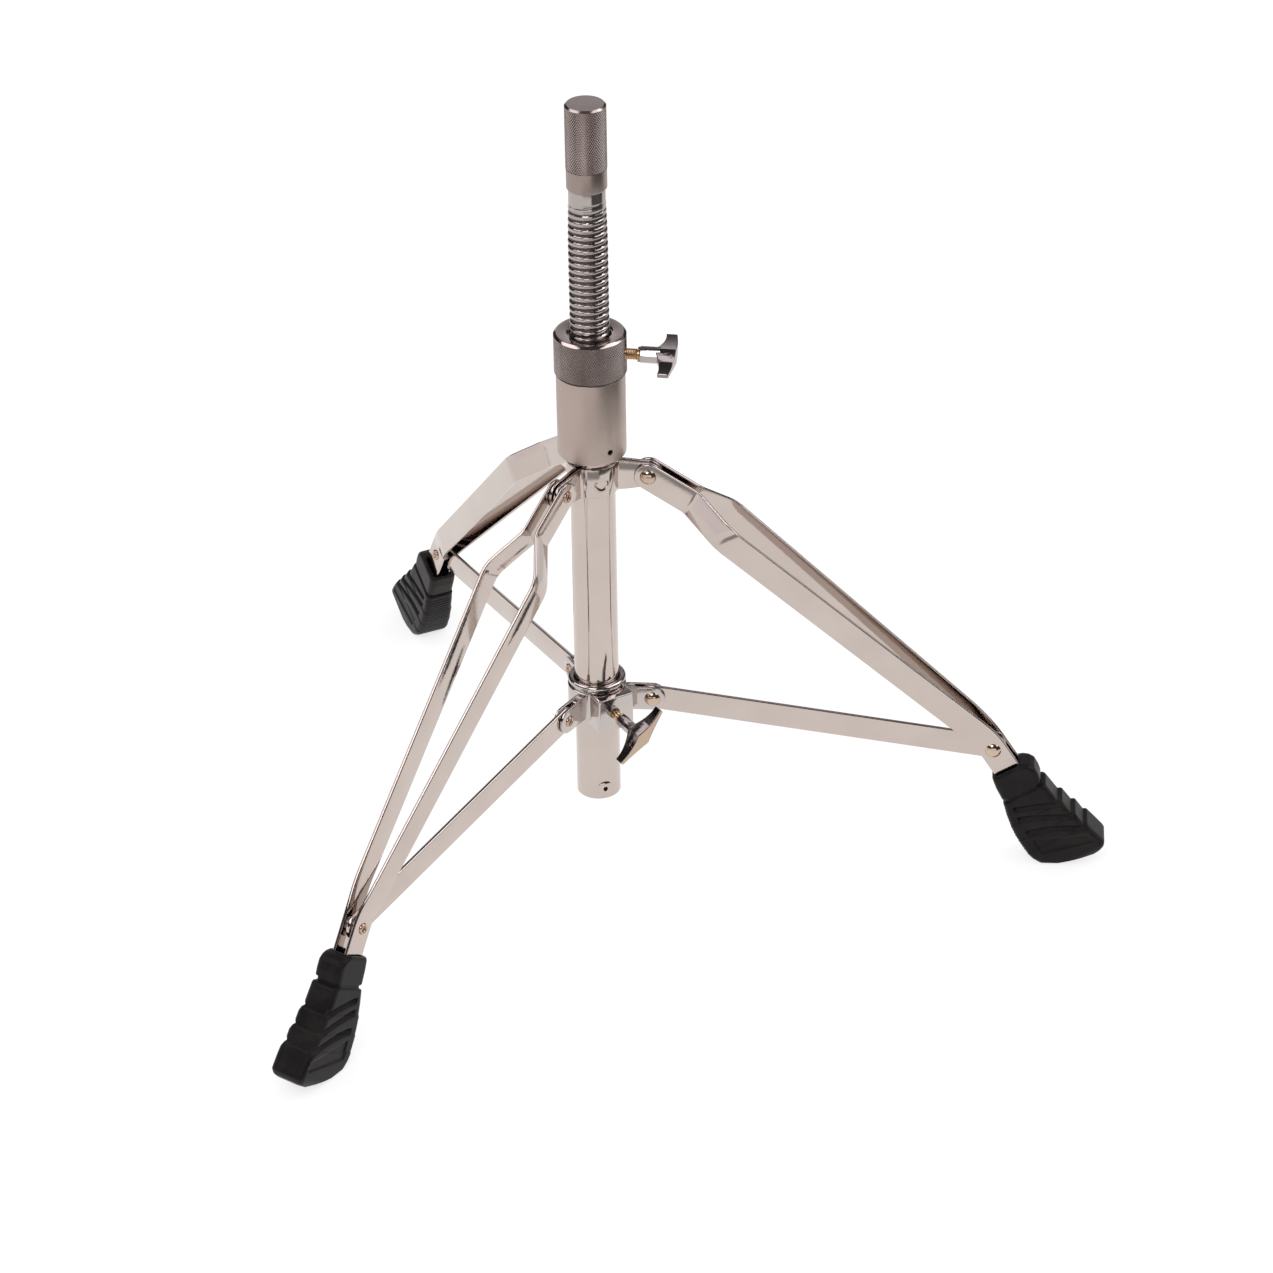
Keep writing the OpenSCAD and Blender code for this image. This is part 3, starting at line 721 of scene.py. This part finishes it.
def make_brackets():
    mesh = Mesh()
    line = bracket_plan()
    tangents = units(np.gradient(line, axis=0))
    normals = np.stack([-tangents[:, 1], tangents[:, 0]], 1)
    ends = []
    for i, way in ((0, -1), (-1, 1)):
        head = []
        for angle in np.radians(np.linspace(4, 86, 9)):
            q = line[i] + way * tangents[i] * EAR_R * cos(angle)
            h = max(EAR_R * sin(angle), 0.75)
            head.append(bracket_ring(q, normals[i], UPPER[1] - h, UPPER[1] + h))
        ends.append(head)
    body = [bracket_ring(p, n, *bracket_heights(p)) for p, n in zip(line, normals)]
    for azimuth in LEGS.values():
        mesh.add(*loft(ends[0] + body + ends[1][::-1]), place=axis_place(azimuth))
    # The crimp mark is a smile: its ridge fades out towards the top
    mark = [(5.6, -0.6), (5.6, 0.0), (5.0, 0.55), (4.2, 0.6), (3.4, 0.15), (2.2, -0.1), (0, -0.15)]
    points, faces = lathe(fillet(mark, 0.3, 3), 48)
    points[:, 2] *= np.clip((3.0 - points[:, 1]) / 4.5, 0, 1)
    points = hug(points, TUBE_R + BRACKET_WALL + 0.05)
    mesh.add(points, faces, place=out_place(MARK_AZIMUTH, MARK_Z))
    mesh.build("bracket_stampings", "base", [CHROME], "stamped_chrome", ["upper_brackets"], 40)


# -------- rivets


def rivet_head_profile():
    """A nearly flat middle that rolls over more and more steeply towards the rim."""
    height, radius = 2.65, 5.8
    radii, rise = domed(radius, 0, 25, [(0, 0), (1.5, 6), (radius, 59)])
    rim = max(height - rise[-1], 0.05)
    return [(radius, 0.0)] + [(r, rim + h * (height - rim) / rise[-1]) for r, h in zip(radii, rise)]


def rolled_profile():
    """A rolled rim around a shallow hole."""
    radius, height, bore, floor = 4.2, 1.4, 1.9, -1.2
    middle, half = (radius + bore) / 2, (radius - bore) / 2
    angles = np.radians(np.linspace(0, 180, 11))
    ring = [(middle + half * cos(a), height * sin(a)) for a in angles]
    return ring + [(bore, floor), (0, floor)]


def add_rivet(mesh, azimuth, centre, half):
    """A domed head on one side of a leg's plane and a rolled end on the other."""
    head, rolled = lathe(rivet_head_profile(), 48), lathe(rolled_profile(), 40)
    for (points, faces), slot, side in ((head, 0, -1), (rolled, 1, 1)):
        points[:, 2] += half
        mesh.add(points, faces, slot=slot, place=leg_place(azimuth, centre, side))


def add_pin(mesh, azimuth, centre, low, high):
    points, faces = lathe([(0, low), (PIN_R, low), (PIN_R, high), (0, high)], 32)
    mesh.add(points, faces, place=leg_place(azimuth, centre, 1))


# -------- legs


def strip_path(side):
    """Middle line of a strip as [distance, sideways, height], with its bends eased."""
    end = LOWER + 62 * FOOT_DOWN
    corners = np.array([
        (UPPER[0], STRIP_MID, UPPER[1]),
        (70, STRIP_MID, 293),
        (94, 21.2, 273),
        (270.5, 7.8, 114.5),
        (283.5, STRIP_MID, 101),
        (end[0], STRIP_MID, end[1]),
    ])
    eased = [corners[0]]
    for i, back in ((1, 3.0), (2, 7.0), (3, 9.0), (4, 8.0)):
        p = corners[i]
        before, after = corners[i - 1] - p, corners[i + 1] - p
        start = p + before / np.linalg.norm(before) * back
        finish = p + after / np.linalg.norm(after) * back
        for t in np.linspace(0, 1, 8):
            eased.append((1 - t) ** 2 * start + 2 * t * (1 - t) * p + t * t * finish)
    eased.append(corners[-1])
    return np.array(eased) * (1, side, 1)


def bar(path, half, thick, round_end):
    """A flat bar that follows a line, its flat side facing sideways and its start round."""
    edge, tip = 0.95, np.radians(np.linspace(0, 84, 13))
    tangents = np.gradient(path, axis=0)
    tangents[0], tangents[-1] = path[1] - path[0], path[-1] - path[-2]
    tangents = units(tangents)
    flat = units(np.stack([-tangents[:, 2], np.zeros(len(path)), tangents[:, 0]], 1))
    normal = np.cross(tangents, flat)
    section = []
    for sw, sn, angle in rounded_corners(4):
        drop = edge * (1 - abs(cos(angle)))
        section.append((sw, half - drop, sn * (thick / 2 - edge) + edge * sin(angle)))

    def ring(i, along, across):
        return [
            path[i] + along * reach * tangents[i] + sw * across * reach * flat[i] + n * normal[i]
            for sw, reach, n in section
        ]

    rings = [ring(0, -cos(a), sin(a)) for a in tip]
    rings += [ring(i, 0, 1) for i in range(len(path))]
    if round_end:
        rings += [ring(-1, cos(a), sin(a)) for a in tip[::-1]]
    return loft(rings, (False, not round_end))


def make_legs():
    brace_line = np.array([(COLLAR[0], 0, COLLAR[1]), (LOWER[0], 0, LOWER[1])])
    outside, ear_outside = STRIP_MID + STRIP_T / 2, STRIP_MID - STRIP_T / 2
    for name, azimuth in LEGS.items():
        body, place = name + "_leg", axis_place(azimuth)
        for letter, side in (("a", 1), ("b", -1)):
            mesh = Mesh().add(*bar(strip_path(side), STRIP_HALF, STRIP_T, False), place=place)
            node = f"{name}_leg_strip_{letter}"
            mesh.build(f"{name}_strip_{letter}", body, [CHROME], "strip_chrome", [node], 30)
        mesh = Mesh()
        for centre in (LOWER, UPPER):
            add_rivet(mesh, azimuth, centre, outside)
        # The upper pins stop short of the bracket's ears, which do not turn with the leg
        add_pin(mesh, azimuth, LOWER, -outside, outside)
        add_pin(mesh, azimuth, UPPER, -outside, -ear_outside)
        add_pin(mesh, azimuth, UPPER, ear_outside, outside)
        node = f"{name}_leg_rivets"
        mesh.build(f"{name}_rivet_heads", body, [RIVET, ROLLED], "rivet_steel", [node], 35)
        mesh = Mesh().add(*bar(brace_line, BRACE_HALF, BRACE_T, True), place=place)
        body = node = f"{name}_brace"
        mesh.build(f"{name}_brace_bar", body, [CHROME], "strip_chrome", [node], 30)


# -------- feet
# Foot points are [down the foot's axis, outwards]: see FOOT_DOWN and FOOT_OUT.

FOOT_INNER = [
    (20, -12.6), (28, -14.4), (38.8, -15.6), (39.6, -14.4), (41.6, -14.6), (42.4, -16.6),
    (52, -19.6), (62, -21.8), (71, -23), (84.6, -23.1), (92.7, -22), (98.74, -19.03),
    (105.19, -8.91), (110, 6), (112.2, 16),
]
FOOT_OUTER = [
    (20, 11.5), (21, 13.8), (23.5, 16.8), (27, 18.7), (33, 18.4), (38.2, 17.3),
    (39.2, 15.2), (41.6, 15), (42.6, 17.4), (44, 18.2), (60, 19.2), (60.5, 20.6),
    (61.8, 21.7), (73.4, 22.6), (74, 24), (75.4, 25), (85.8, 25.6), (86.4, 26.8),
    (87.8, 27.7), (97.9, 29.6), (104, 30.7), (107, 31), (110, 29), (111.6, 26), (112.2, 22),
]
FOOT_HALF = [
    (20, 10), (21.5, 10.6), (38.6, 10.7), (39.6, 9.7), (41.4, 9.7), (42.6, 11.2),
    (60, 11.7), (61.2, 12.3), (73.6, 12.6), (75, 13.2), (86, 13.4), (87.4, 13.9), (98, 14),
    (107, 13.6), (113, 13),
]
# Side grooves: inner end, middle and outer end of each, as [down, outwards]
FOOT_GROOVES = [
    ((48.5, -11.5), (52, 0), (60, 19.5)),
    ((57, -13), (63.3, 3), (73.8, 22.5)),
    ((70, -13.5), (75.5, 5), (86.2, 25.5)),
]
FOOT_RIM, FOOT_BLOCK, FOOT_CORNER = 20.0, 86.8, 4.2
# Mouth: how far down, and how far in from the outside
FOOT_MOUTH = [(31.0, 3.4), (30.5, 3.0), (20.2, 2.6), (19.3, 2.0), (19.3, 0.7)]


def along_curve(curve, count):
    """Points spread evenly by length along a bent line."""
    curve = np.asarray(curve, float)
    steps = np.r_[0, np.cumsum(np.linalg.norm(np.diff(curve, axis=0), axis=1))]
    where = np.linspace(0, steps[-1], count)
    return np.stack([np.interp(where, steps, curve[:, k]) for k in range(2)], 1)


def foot_side_relief(a, b):
    """How far the side is pushed in at a foot point."""
    groove_depth, steep, slow, margin = 2.6, 1.5, 5.0, 0.9
    depth = np.zeros_like(a)
    for (a0, b0), (a1, b1), (a2, b2) in FOOT_GROOVES:
        t = np.clip((b - b0) / (b2 - b0), 0, 1)
        middle = (b1 - b0) / (b2 - b0)
        bow = (a1 - (a0 + (a2 - a0) * middle)) / (middle * (1 - middle))
        off = a - (a0 + (a2 - a0) * t + bow * t * (1 - t))
        # Steep on the upper side, a slow rise on the lower one
        shape = np.where(off < 0, 1 + off / steep, 1 - off / slow)
        depth = depth + groove_depth * smoothstep(shape) * np.clip((b - b0 + 0.6) / 1.6, 0, 1)
    # Sunk panel on the block, 1 mm deep, inside its four edges
    lower, upper = 91.5 + (b + 13) * 0.26, 77.5 + 0.42 * (b + 13)
    inside = np.minimum.reduce([b + 13.2, lower - a, 25.8 - b, a - upper]) / margin
    return depth + smoothstep(inside)


def foot_ring(inner, outer, half, wall=0.0):
    """One closed ring across the foot, from its inner side to its outer one."""
    inner, outer = np.asarray(inner, float), np.asarray(outer, float)
    length = max(np.linalg.norm(outer - inner), 1e-6)
    unit = (outer - inner) / length
    inner = inner + unit * wall
    length = max(length - 2 * wall, 0.05)
    half = half - wall
    corner = max(min(FOOT_CORNER - wall * 0.5, length * 0.49, half * 0.98), 0.02)
    x = np.linspace(corner, length - corner, 43)[1:-1]
    y = np.linspace(corner - half, half - corner, 9)[1:-1]
    angles = np.radians(np.linspace(0, 90, 6))
    quarter = [(corner * sin(q), corner * cos(q)) for q in angles]
    far = [(length - corner + s, half - corner + c) for s, c in quarter]
    near = [(corner - s, corner - half - c) for s, c in quarter]
    outline = [(v, half) for v in x] + far + [(length, v) for v in y[::-1]]
    outline += [(p, -v) for p, v in far[::-1]] + [(v, -half) for v in x[::-1]] + near
    outline += [(0.0, v) for v in y] + [(p, -v) for p, v in near[::-1]]
    outline = np.array(outline)
    return np.column_stack([inner + outline[:, :1] * unit, outline[:, 1]])


def foot_at(table, a):
    """A foot table's value at a distance down the axis."""
    return np.interp(a, *zip(*table))


def foot_section(a, down=None, wall=0.0):
    """A ring straight across the foot at a, put at down if that is given."""
    down = a if down is None else down
    inner, outer = (down, foot_at(FOOT_INNER, a)), (down, foot_at(FOOT_OUTER, a))
    return foot_ring(inner, outer, foot_at(FOOT_HALF, a), wall)


def make_feet():
    # Rings follow the axis to the block, then fan around the sole
    rings = [foot_section(a) for a in np.linspace(FOOT_RIM, FOOT_BLOCK, 150)]
    sole_inner = along_curve([(87.2, -23.0)] + [p for p in FOOT_INNER if p[0] > 90], 44)
    sole_outer = along_curve([(87.2, 27.4)] + [p for p in FOOT_OUTER if p[0] > 87.5], 44)
    for inner, outer in zip(sole_inner, sole_outer):
        a = (inner[0] + outer[0]) / 2
        round_off = 2.5 * np.clip((a - 106) / 7, 0, 1) ** 2
        rings.append(foot_ring(inner, outer, foot_at(FOOT_HALF, a) - round_off))
    body = np.array(rings)
    # Relief of the sides, then the ribs of the inner edge
    a, b, t = body[..., 0], body[..., 1], body[..., 2]
    widest = np.abs(t).max(axis=1)[:, None]
    share = np.clip((np.abs(t) / widest - 0.80) / 0.18, 0, 1)
    body[..., 2] = t - np.sign(t) * foot_side_relief(a, b) * share
    rib_pitch, rib_depth, rib_reach = 2.6, 0.35, 2.5
    near = np.clip(1 - (b - foot_at(FOOT_INNER, a[:, 0])[:, None]) / rib_reach, 0, 1)
    near = near * (a > 44) * (a < 99)
    body[..., 1] = b + rib_depth * near * (0.5 - 0.5 * np.cos(a * 2 * pi / rib_pitch))
    # Floor and walls of the mouth, and the top of the rim
    mouth = [foot_section(max(down, FOOT_RIM), down, wall) for down, wall in FOOT_MOUTH]
    points, faces = loft(mouth + list(body))
    down, out, side = points[:, 0], points[:, 1], points[:, 2]
    r = LOWER[0] + down * FOOT_DOWN[0] + out * FOOT_OUT[0]
    z = LOWER[1] + down * FOOT_DOWN[1] + out * FOOT_OUT[1]
    placed = np.stack([r, side, np.maximum(z, 0.02)], 1)
    for name, azimuth in LEGS.items():
        mesh = Mesh().add(placed, faces, place=axis_place(azimuth))
        mesh.build(f"{name}_boot", f"{name}_leg", [RUBBER], "rubber", [f"{name}_foot"], 42)


# -------- collar


def make_collar():
    mesh = Mesh()
    r, bore, low, high, lip = COLLAR_R, COLLAR_BORE_R, COLLAR_LOW, COLLAR_HIGH, COLLAR_LIP
    profile = [(bore, low + 0.5), (bore + 0.5, low)]
    profile += arc((r - 1, low + 1), 1, -90, 0, 4) + [(r, high - 1.2)]
    profile += arc((r - 0.8, high - 1.2), 0.8, 0, 60, 3)
    profile += [(r - 1.9, high + 0.2), (r - 2.0, high + 0.8)]
    profile += arc((r - 2.6, lip), 2.6, -35, 150, 14) + [(bore, lip + 0.4)]
    mesh.add(*lathe(profile, 128, close=True))
    # Boss: a square block at the clamp screw, its back hollowed to clear the tube
    azimuth, back, face, half = 274.0, 12, 28.7, 14.3
    outline = [(back, -half), (face, -half), (face, half), (back, half)]
    outline = list(fillet(outline, [0, 1.3, 1.3, 0], 4, closed=True))
    outline += arc((0, 0), 17.0, 45, -45, 14)
    mesh.add(*slab(outline, 112.6, 140, 0.8), place=axis_place(azimuth))
    # Lug pairs, joined by a web at the body
    x, z = COLLAR
    low, high = z - LUG_R, z + LUG_R
    ear = np.array([(19.0, low)] + arc((x, z), LUG_R, -90, 90, 18) + [(19.0, high)])
    web = [(17.5, low), (29, low + 1), (29, high - 1), (17.5, high)]
    web = fillet(web, [0, 2, 2, 0], 4, closed=True)
    for leg in LEGS.values():
        for side in (-1, 1):
            points, faces = slab(ear, 1.85, 4.0, 0.55)
            mesh.add(upright(points) * (1, side, 1), faces, place=axis_place(leg))
        points, faces = slab(web, -3.9, 3.9, 0.5)
        mesh.add(upright(points), faces, place=axis_place(leg))
    mesh.build("collar_casting", "collar", [CAST], "collar_chrome", ["sliding_collar"])
    mesh = Mesh()
    for leg in LEGS.values():
        add_rivet(mesh, leg, COLLAR, 4.0)
        add_pin(mesh, leg, COLLAR, -4.1, 4.1)
    materials = [RIVET, ROLLED]
    mesh.build("collar_rivet_heads", "collar", materials, "rivet_steel", ["collar_rivets"], 35)


# -------- T-handles and their screws
# Name, body, azimuth, height, where the handle starts, then the screw's tip and radius, then
# the handle's face, stem width, arm depth, spin and material slot of the face

# A face slot of 1 paints the handle's outer face with a tan reflection; 0 leaves it plain handle
# chrome.
T_SCREWS = [
    ("nut", "nut_lock", 326, 408.3, 34.8, (14.45, 4.0), (60.4, 11.4, 7.8, 8, 0)),
    ("collar", "collar_clamp", 276, 123.6, 34.0, (16.6, 3.0), (64.6, 9.4, 6.9, 44.5, 1)),
]


def make_screw(name, body, azimuth, z, start, tip, radius):
    """A screw from its tip into its handle, with a flange where the handle starts."""
    mesh = Mesh()
    place = out_place(azimuth, z)
    pitch, depth, flange = 1.25, 0.45, radius + 1.5
    rows, angles, phase = helix(tip + 0.6, start - 1.4, pitch, around=28, per_turn=8)
    thread_r = radius - depth * np.abs(2 * phase - 1) ** 1.3
    mesh.add(*round_grid(rows, angles, thread_r), place=place)
    mesh.add(*lathe([(0, tip), (radius - 0.9, tip), (radius - 0.45, tip + 0.6)], 28), place=place)
    ring = [
        (radius - 0.5, start - 1.4), (flange - 0.35, start - 1.3), (flange, start - 1.0),
        (flange, start - 0.3), (flange - 0.35, start), (radius, start), (radius, start + 7),
        (0, start + 7),
    ]
    mesh.add(*lathe(ring, 40), place=place)
    mesh.build(f"{name}_screw_thread", body, [YELLOW], "brass_screw", [f"{body}_screw"], 40)


def make_handle(name, body, azimuth, z, start, face, stem, depth, spin, face_slot):
    """A T-handle: its arms sweep back, thin and narrow from a diamond middle to their tips."""
    mesh = Mesh()
    tip, half_middle, half_tip, edge = 23.9, 6.0, 1.7, 0.55
    place = out_place(azimuth, z, spin)
    arm = np.r_[np.linspace(0, 0.96, 25), 0.985, 1.0]
    rings = []
    for share in np.r_[-arm[:0:-1], arm]:
        s = abs(share)
        outer = face - 0.1 - 2.5 * s * s
        inner = outer - depth - 7.7 * (1 - s) ** 1.6
        half = half_tip + (half_middle - half_tip) * (1 - s) ** 2 - 0.05
        shrink = 0.3 if s == 1.0 else 0.0
        section = []
        for sx, sz, angle in rounded_corners(2):
            x = (outer - edge if sx > 0 else inner + edge) + edge * cos(angle) - sx * shrink
            w = sz * (half - edge) + edge * sin(angle) - sz * shrink
            section.append((tip * share, w, x))
        rings.append(section)
    # The arms take the dark copy of the handle chrome: painted dark reflection.
    mesh.add(*loft(rings), slot=2, place=place)
    # The outer face is the last run of each ring, between the two outer corners; face_slot 1 gives
    # it the painted tan reflection
    run = len(rings[0])
    mesh.slots[run - 1:(len(rings) - 1) * run:run] = [face_slot] * (len(rings) - 1)
    # Octagonal stem
    half = stem / 2 - 0.05
    near = half - half * (1 - tan(pi / 8))
    outline = [
        (half, -near), (half, near), (near, half), (-near, half),
        (-half, near), (-half, -near), (-near, -half), (near, -half),
    ]
    outline = fillet(outline, 0.5, 2, closed=True)
    ends = ((start, 0.6), (start + 0.5, 0.1), (start + 1, 0), (face - 11.1, 0))
    mesh.add(*loft([at_height(inset(outline, shrink), x) for x, shrink in ends]), place=place)
    materials = [HANDLE, HANDLE_PAINTED_TAN, HANDLE_PAINTED_DARK]
    mesh.build(f"{name}_t_handle", body, materials, "handle_chrome", [f"{body}_handle"], 22)


# -------- studio
# Headings are in degrees from the front of the studio, counted to its right.

FLOOR_SIZE, FLOOR_GLOW = 9.0, 0.74
# The painted shadow ring of the floor: from, to and softness in metres, and how dim
RING, RING_DIM = (0.73, 1.22, 0.07), 0.66
# Painted bright patches of the ring: from, to, softness in radians, and strength
RING_PATCHES = [(30, 84, 0.1, 0.66), (-132, -24, 0.08, 0.62)]
RING_BACK, RING_BACK_BRIGHT = (98, 114), 0.46
FAR_SECTOR, FAR_REACH, FAR_DIM = (26, 105, 0.08), (0.84, 0.96), 0.88
# How bright the room is, by the angle in degrees from the front horizon over the top to the back
ROOM = [
    (0, 0.05), (30, 0.05), (102, 0.045), (104.5, 1.9), (111, 1.9), (113.5, 0.05),
    (128, 0.09), (140, 0.18), (148, 0.29), (157, 0.5), (166, 0.7), (180, 0.85),
]
# Parts of the room: two headings, lowest and highest sine of the elevation, power
SOFT_BOXES = [
    (-121, -58, 0.62, 0.92, 1.8), (50, 112, 0.53, 0.90, 1.8),
    (-108, 24, -0.3, 0.17, 0.95), (-16, 22, -0.3, 0.2, 1.3),
]
DARK_CORNERS = [(112, 168, -0.3, 0.40), (-158, -108, -0.3, 0.54)]
CORNER_DIM = 0.93
ROOM_TINT = (1.0, 0.95, 0.99)
LAMP_TARGET = Vector((0, 0, 0.25))


def make_floor():
    """Pale paper, evenly bright to the camera. Glossy surfaces see painted light on it: it falls
    off away from the object, as under studio lamps, with painted shade and bright patches.
    """
    m = Nodes("studio_paper")
    m.set(Base_Color=m.tint(m.ramp(m.noise(3, 3), 0, 1), (0.28, 0.28, 0.28), (0.30, 0.30, 0.30)))
    m.set(Roughness=0.9, Specular_IOR_Level=0.0)
    m.set(Emission_Color=(1, 1, 1, 1), Emission_Strength=FLOOR_GLOW)
    front, right, _ = m.studio_axes(m.place())
    reach = m.math("SQRT", m.math("ADD", m.times(front, front), m.times(right, right)))
    heading = m.math("ARCTAN2", right, front)
    # A painted shadow ring around the object, broken by painted bright patches and brighter at the
    # back
    bright = m.math("ADD", *(m.times(m.sector(heading, *p), power) for *p, power in RING_PATCHES))
    back = m.ramp(m.math("ABSOLUTE", heading), 0, 1, *(radians(v) for v in RING_BACK), True)
    bright = m.math("MAXIMUM", bright, m.times(back, RING_BACK_BRIGHT))
    dim = m.times(m.band(reach, *RING), m.math("SUBTRACT", RING_DIM, bright))
    # A painted dark sector beyond it on the right
    far = m.times(m.sector(heading, *FAR_SECTOR), m.ramp(reach, 0, FAR_DIM, *FAR_REACH, True))
    level = m.times(m.rest_of(dim), m.rest_of(far))
    # Glossy rays see this painted light in place of the paper.
    seen = m.add("ShaderNodeEmission", {"Strength": level, "Color": (1, 0.985, 0.975, 1)})
    surface = m.tree.nodes["Material Output"].inputs["Surface"]
    m.put(surface, m.glossy_mix(m.shader, seen))
    data = bpy.data.meshes.new("studio_floor")
    corners = [(x * FLOOR_SIZE, y * FLOOR_SIZE, 0) for x, y in ((-1, -1), (1, -1), (1, 1), (-1, 1))]
    data.from_pydata(corners, [], [(0, 1, 2, 3)])
    data.materials.append(m.material)
    link("studio_floor", data)


def make_world():
    """White to the camera and to matt surfaces; glossy ones see a dim room with soft boxes."""
    world = bpy.data.worlds.new("studio")
    bpy.context.scene.world = world
    world.use_nodes = True
    t = Tree(world.node_tree)
    t.tree.nodes.clear()
    front, right, up = t.studio_axes(t.add("ShaderNodeTexCoord").outputs["Generated"])
    rise = t.math("DIVIDE", t.math("ARCTAN2", up, front), pi)
    room = t.add("ShaderNodeValToRGB", {"Fac": rise})
    stops = room.color_ramp.elements
    while len(stops) < len(ROOM):
        stops.new(0.5)
    for stop, (angle, level) in zip(stops, ROOM):
        stop.position = angle / 180
        stop.color = (level, level, level, 1)
    heading = t.math("ARCTAN2", right, front)
    level = t.add("ShaderNodeSeparateColor", {0: room.outputs[0]}).outputs[0]

    def window(start, end, bottom, top):
        return t.times(t.sector(heading, start, end, 0.05), t.band(up, bottom, top, 0.03))

    for corner in DARK_CORNERS:
        level = t.times(level, t.rest_of(t.times(window(*corner), CORNER_DIM)))
    for *where, power in SOFT_BOXES:
        level = t.math("MAXIMUM", level, t.times(window(*where), power))
    tint = {i: t.times(level, v) for i, v in enumerate(ROOM_TINT)}
    tint = t.add("ShaderNodeCombineColor", tint)
    glossy = t.add("ShaderNodeBackground", {"Color": tint.outputs[0]})
    plain = t.add("ShaderNodeBackground", {"Color": (1, 1, 1, 1), "Strength": 1.0})
    t.add("ShaderNodeOutputWorld", {0: t.glossy_mix(plain, glossy)})


def make_lamp(name, place, size, power):
    data = bpy.data.lights.new(name, "AREA")
    data.shape = "DISK"
    data.size = size
    data.energy = power
    aim = (LAMP_TARGET - Vector(place)).to_track_quat("-Z", "Y")
    link(name, data).matrix_world = Matrix.Translation(place) @ aim.to_matrix().to_4x4()


def dress(material, *nodes):
    """Gives CAD nodes that stay their material."""
    for node in nodes:
        data = NODES[node].data
        data.materials.clear()
        data.materials.append(material)
        for polygon in data.polygons:
            polygon.material_index = 0


make_seat_post()
make_spindle()
make_nut()
make_housing()
make_tube()
make_brackets()
make_legs()
make_feet()
make_collar()
for t_name, t_body, *where, screw, handle in T_SCREWS:
    make_screw(t_name, t_body, *where, *screw)
    make_handle(t_name, t_body, *where, *handle)
dress(NYLON, "spindle_guide_disc")
dress(ZINC, "guide_disc_screw", "threaded_bushing", "upper_bracket_eyelets")
dress(ZINC, *(f"{leg_name}_leg_washers" for leg_name in LEGS))
dress(BLACK_OXIDE, "housing_set_screw")

make_floor()
make_world()
make_lamp("key_light", (-1.6, -1.6, 2.6), 1.6, 22)
make_lamp("fill_light", (2.2, -0.6, 1.8), 1.8, 10)
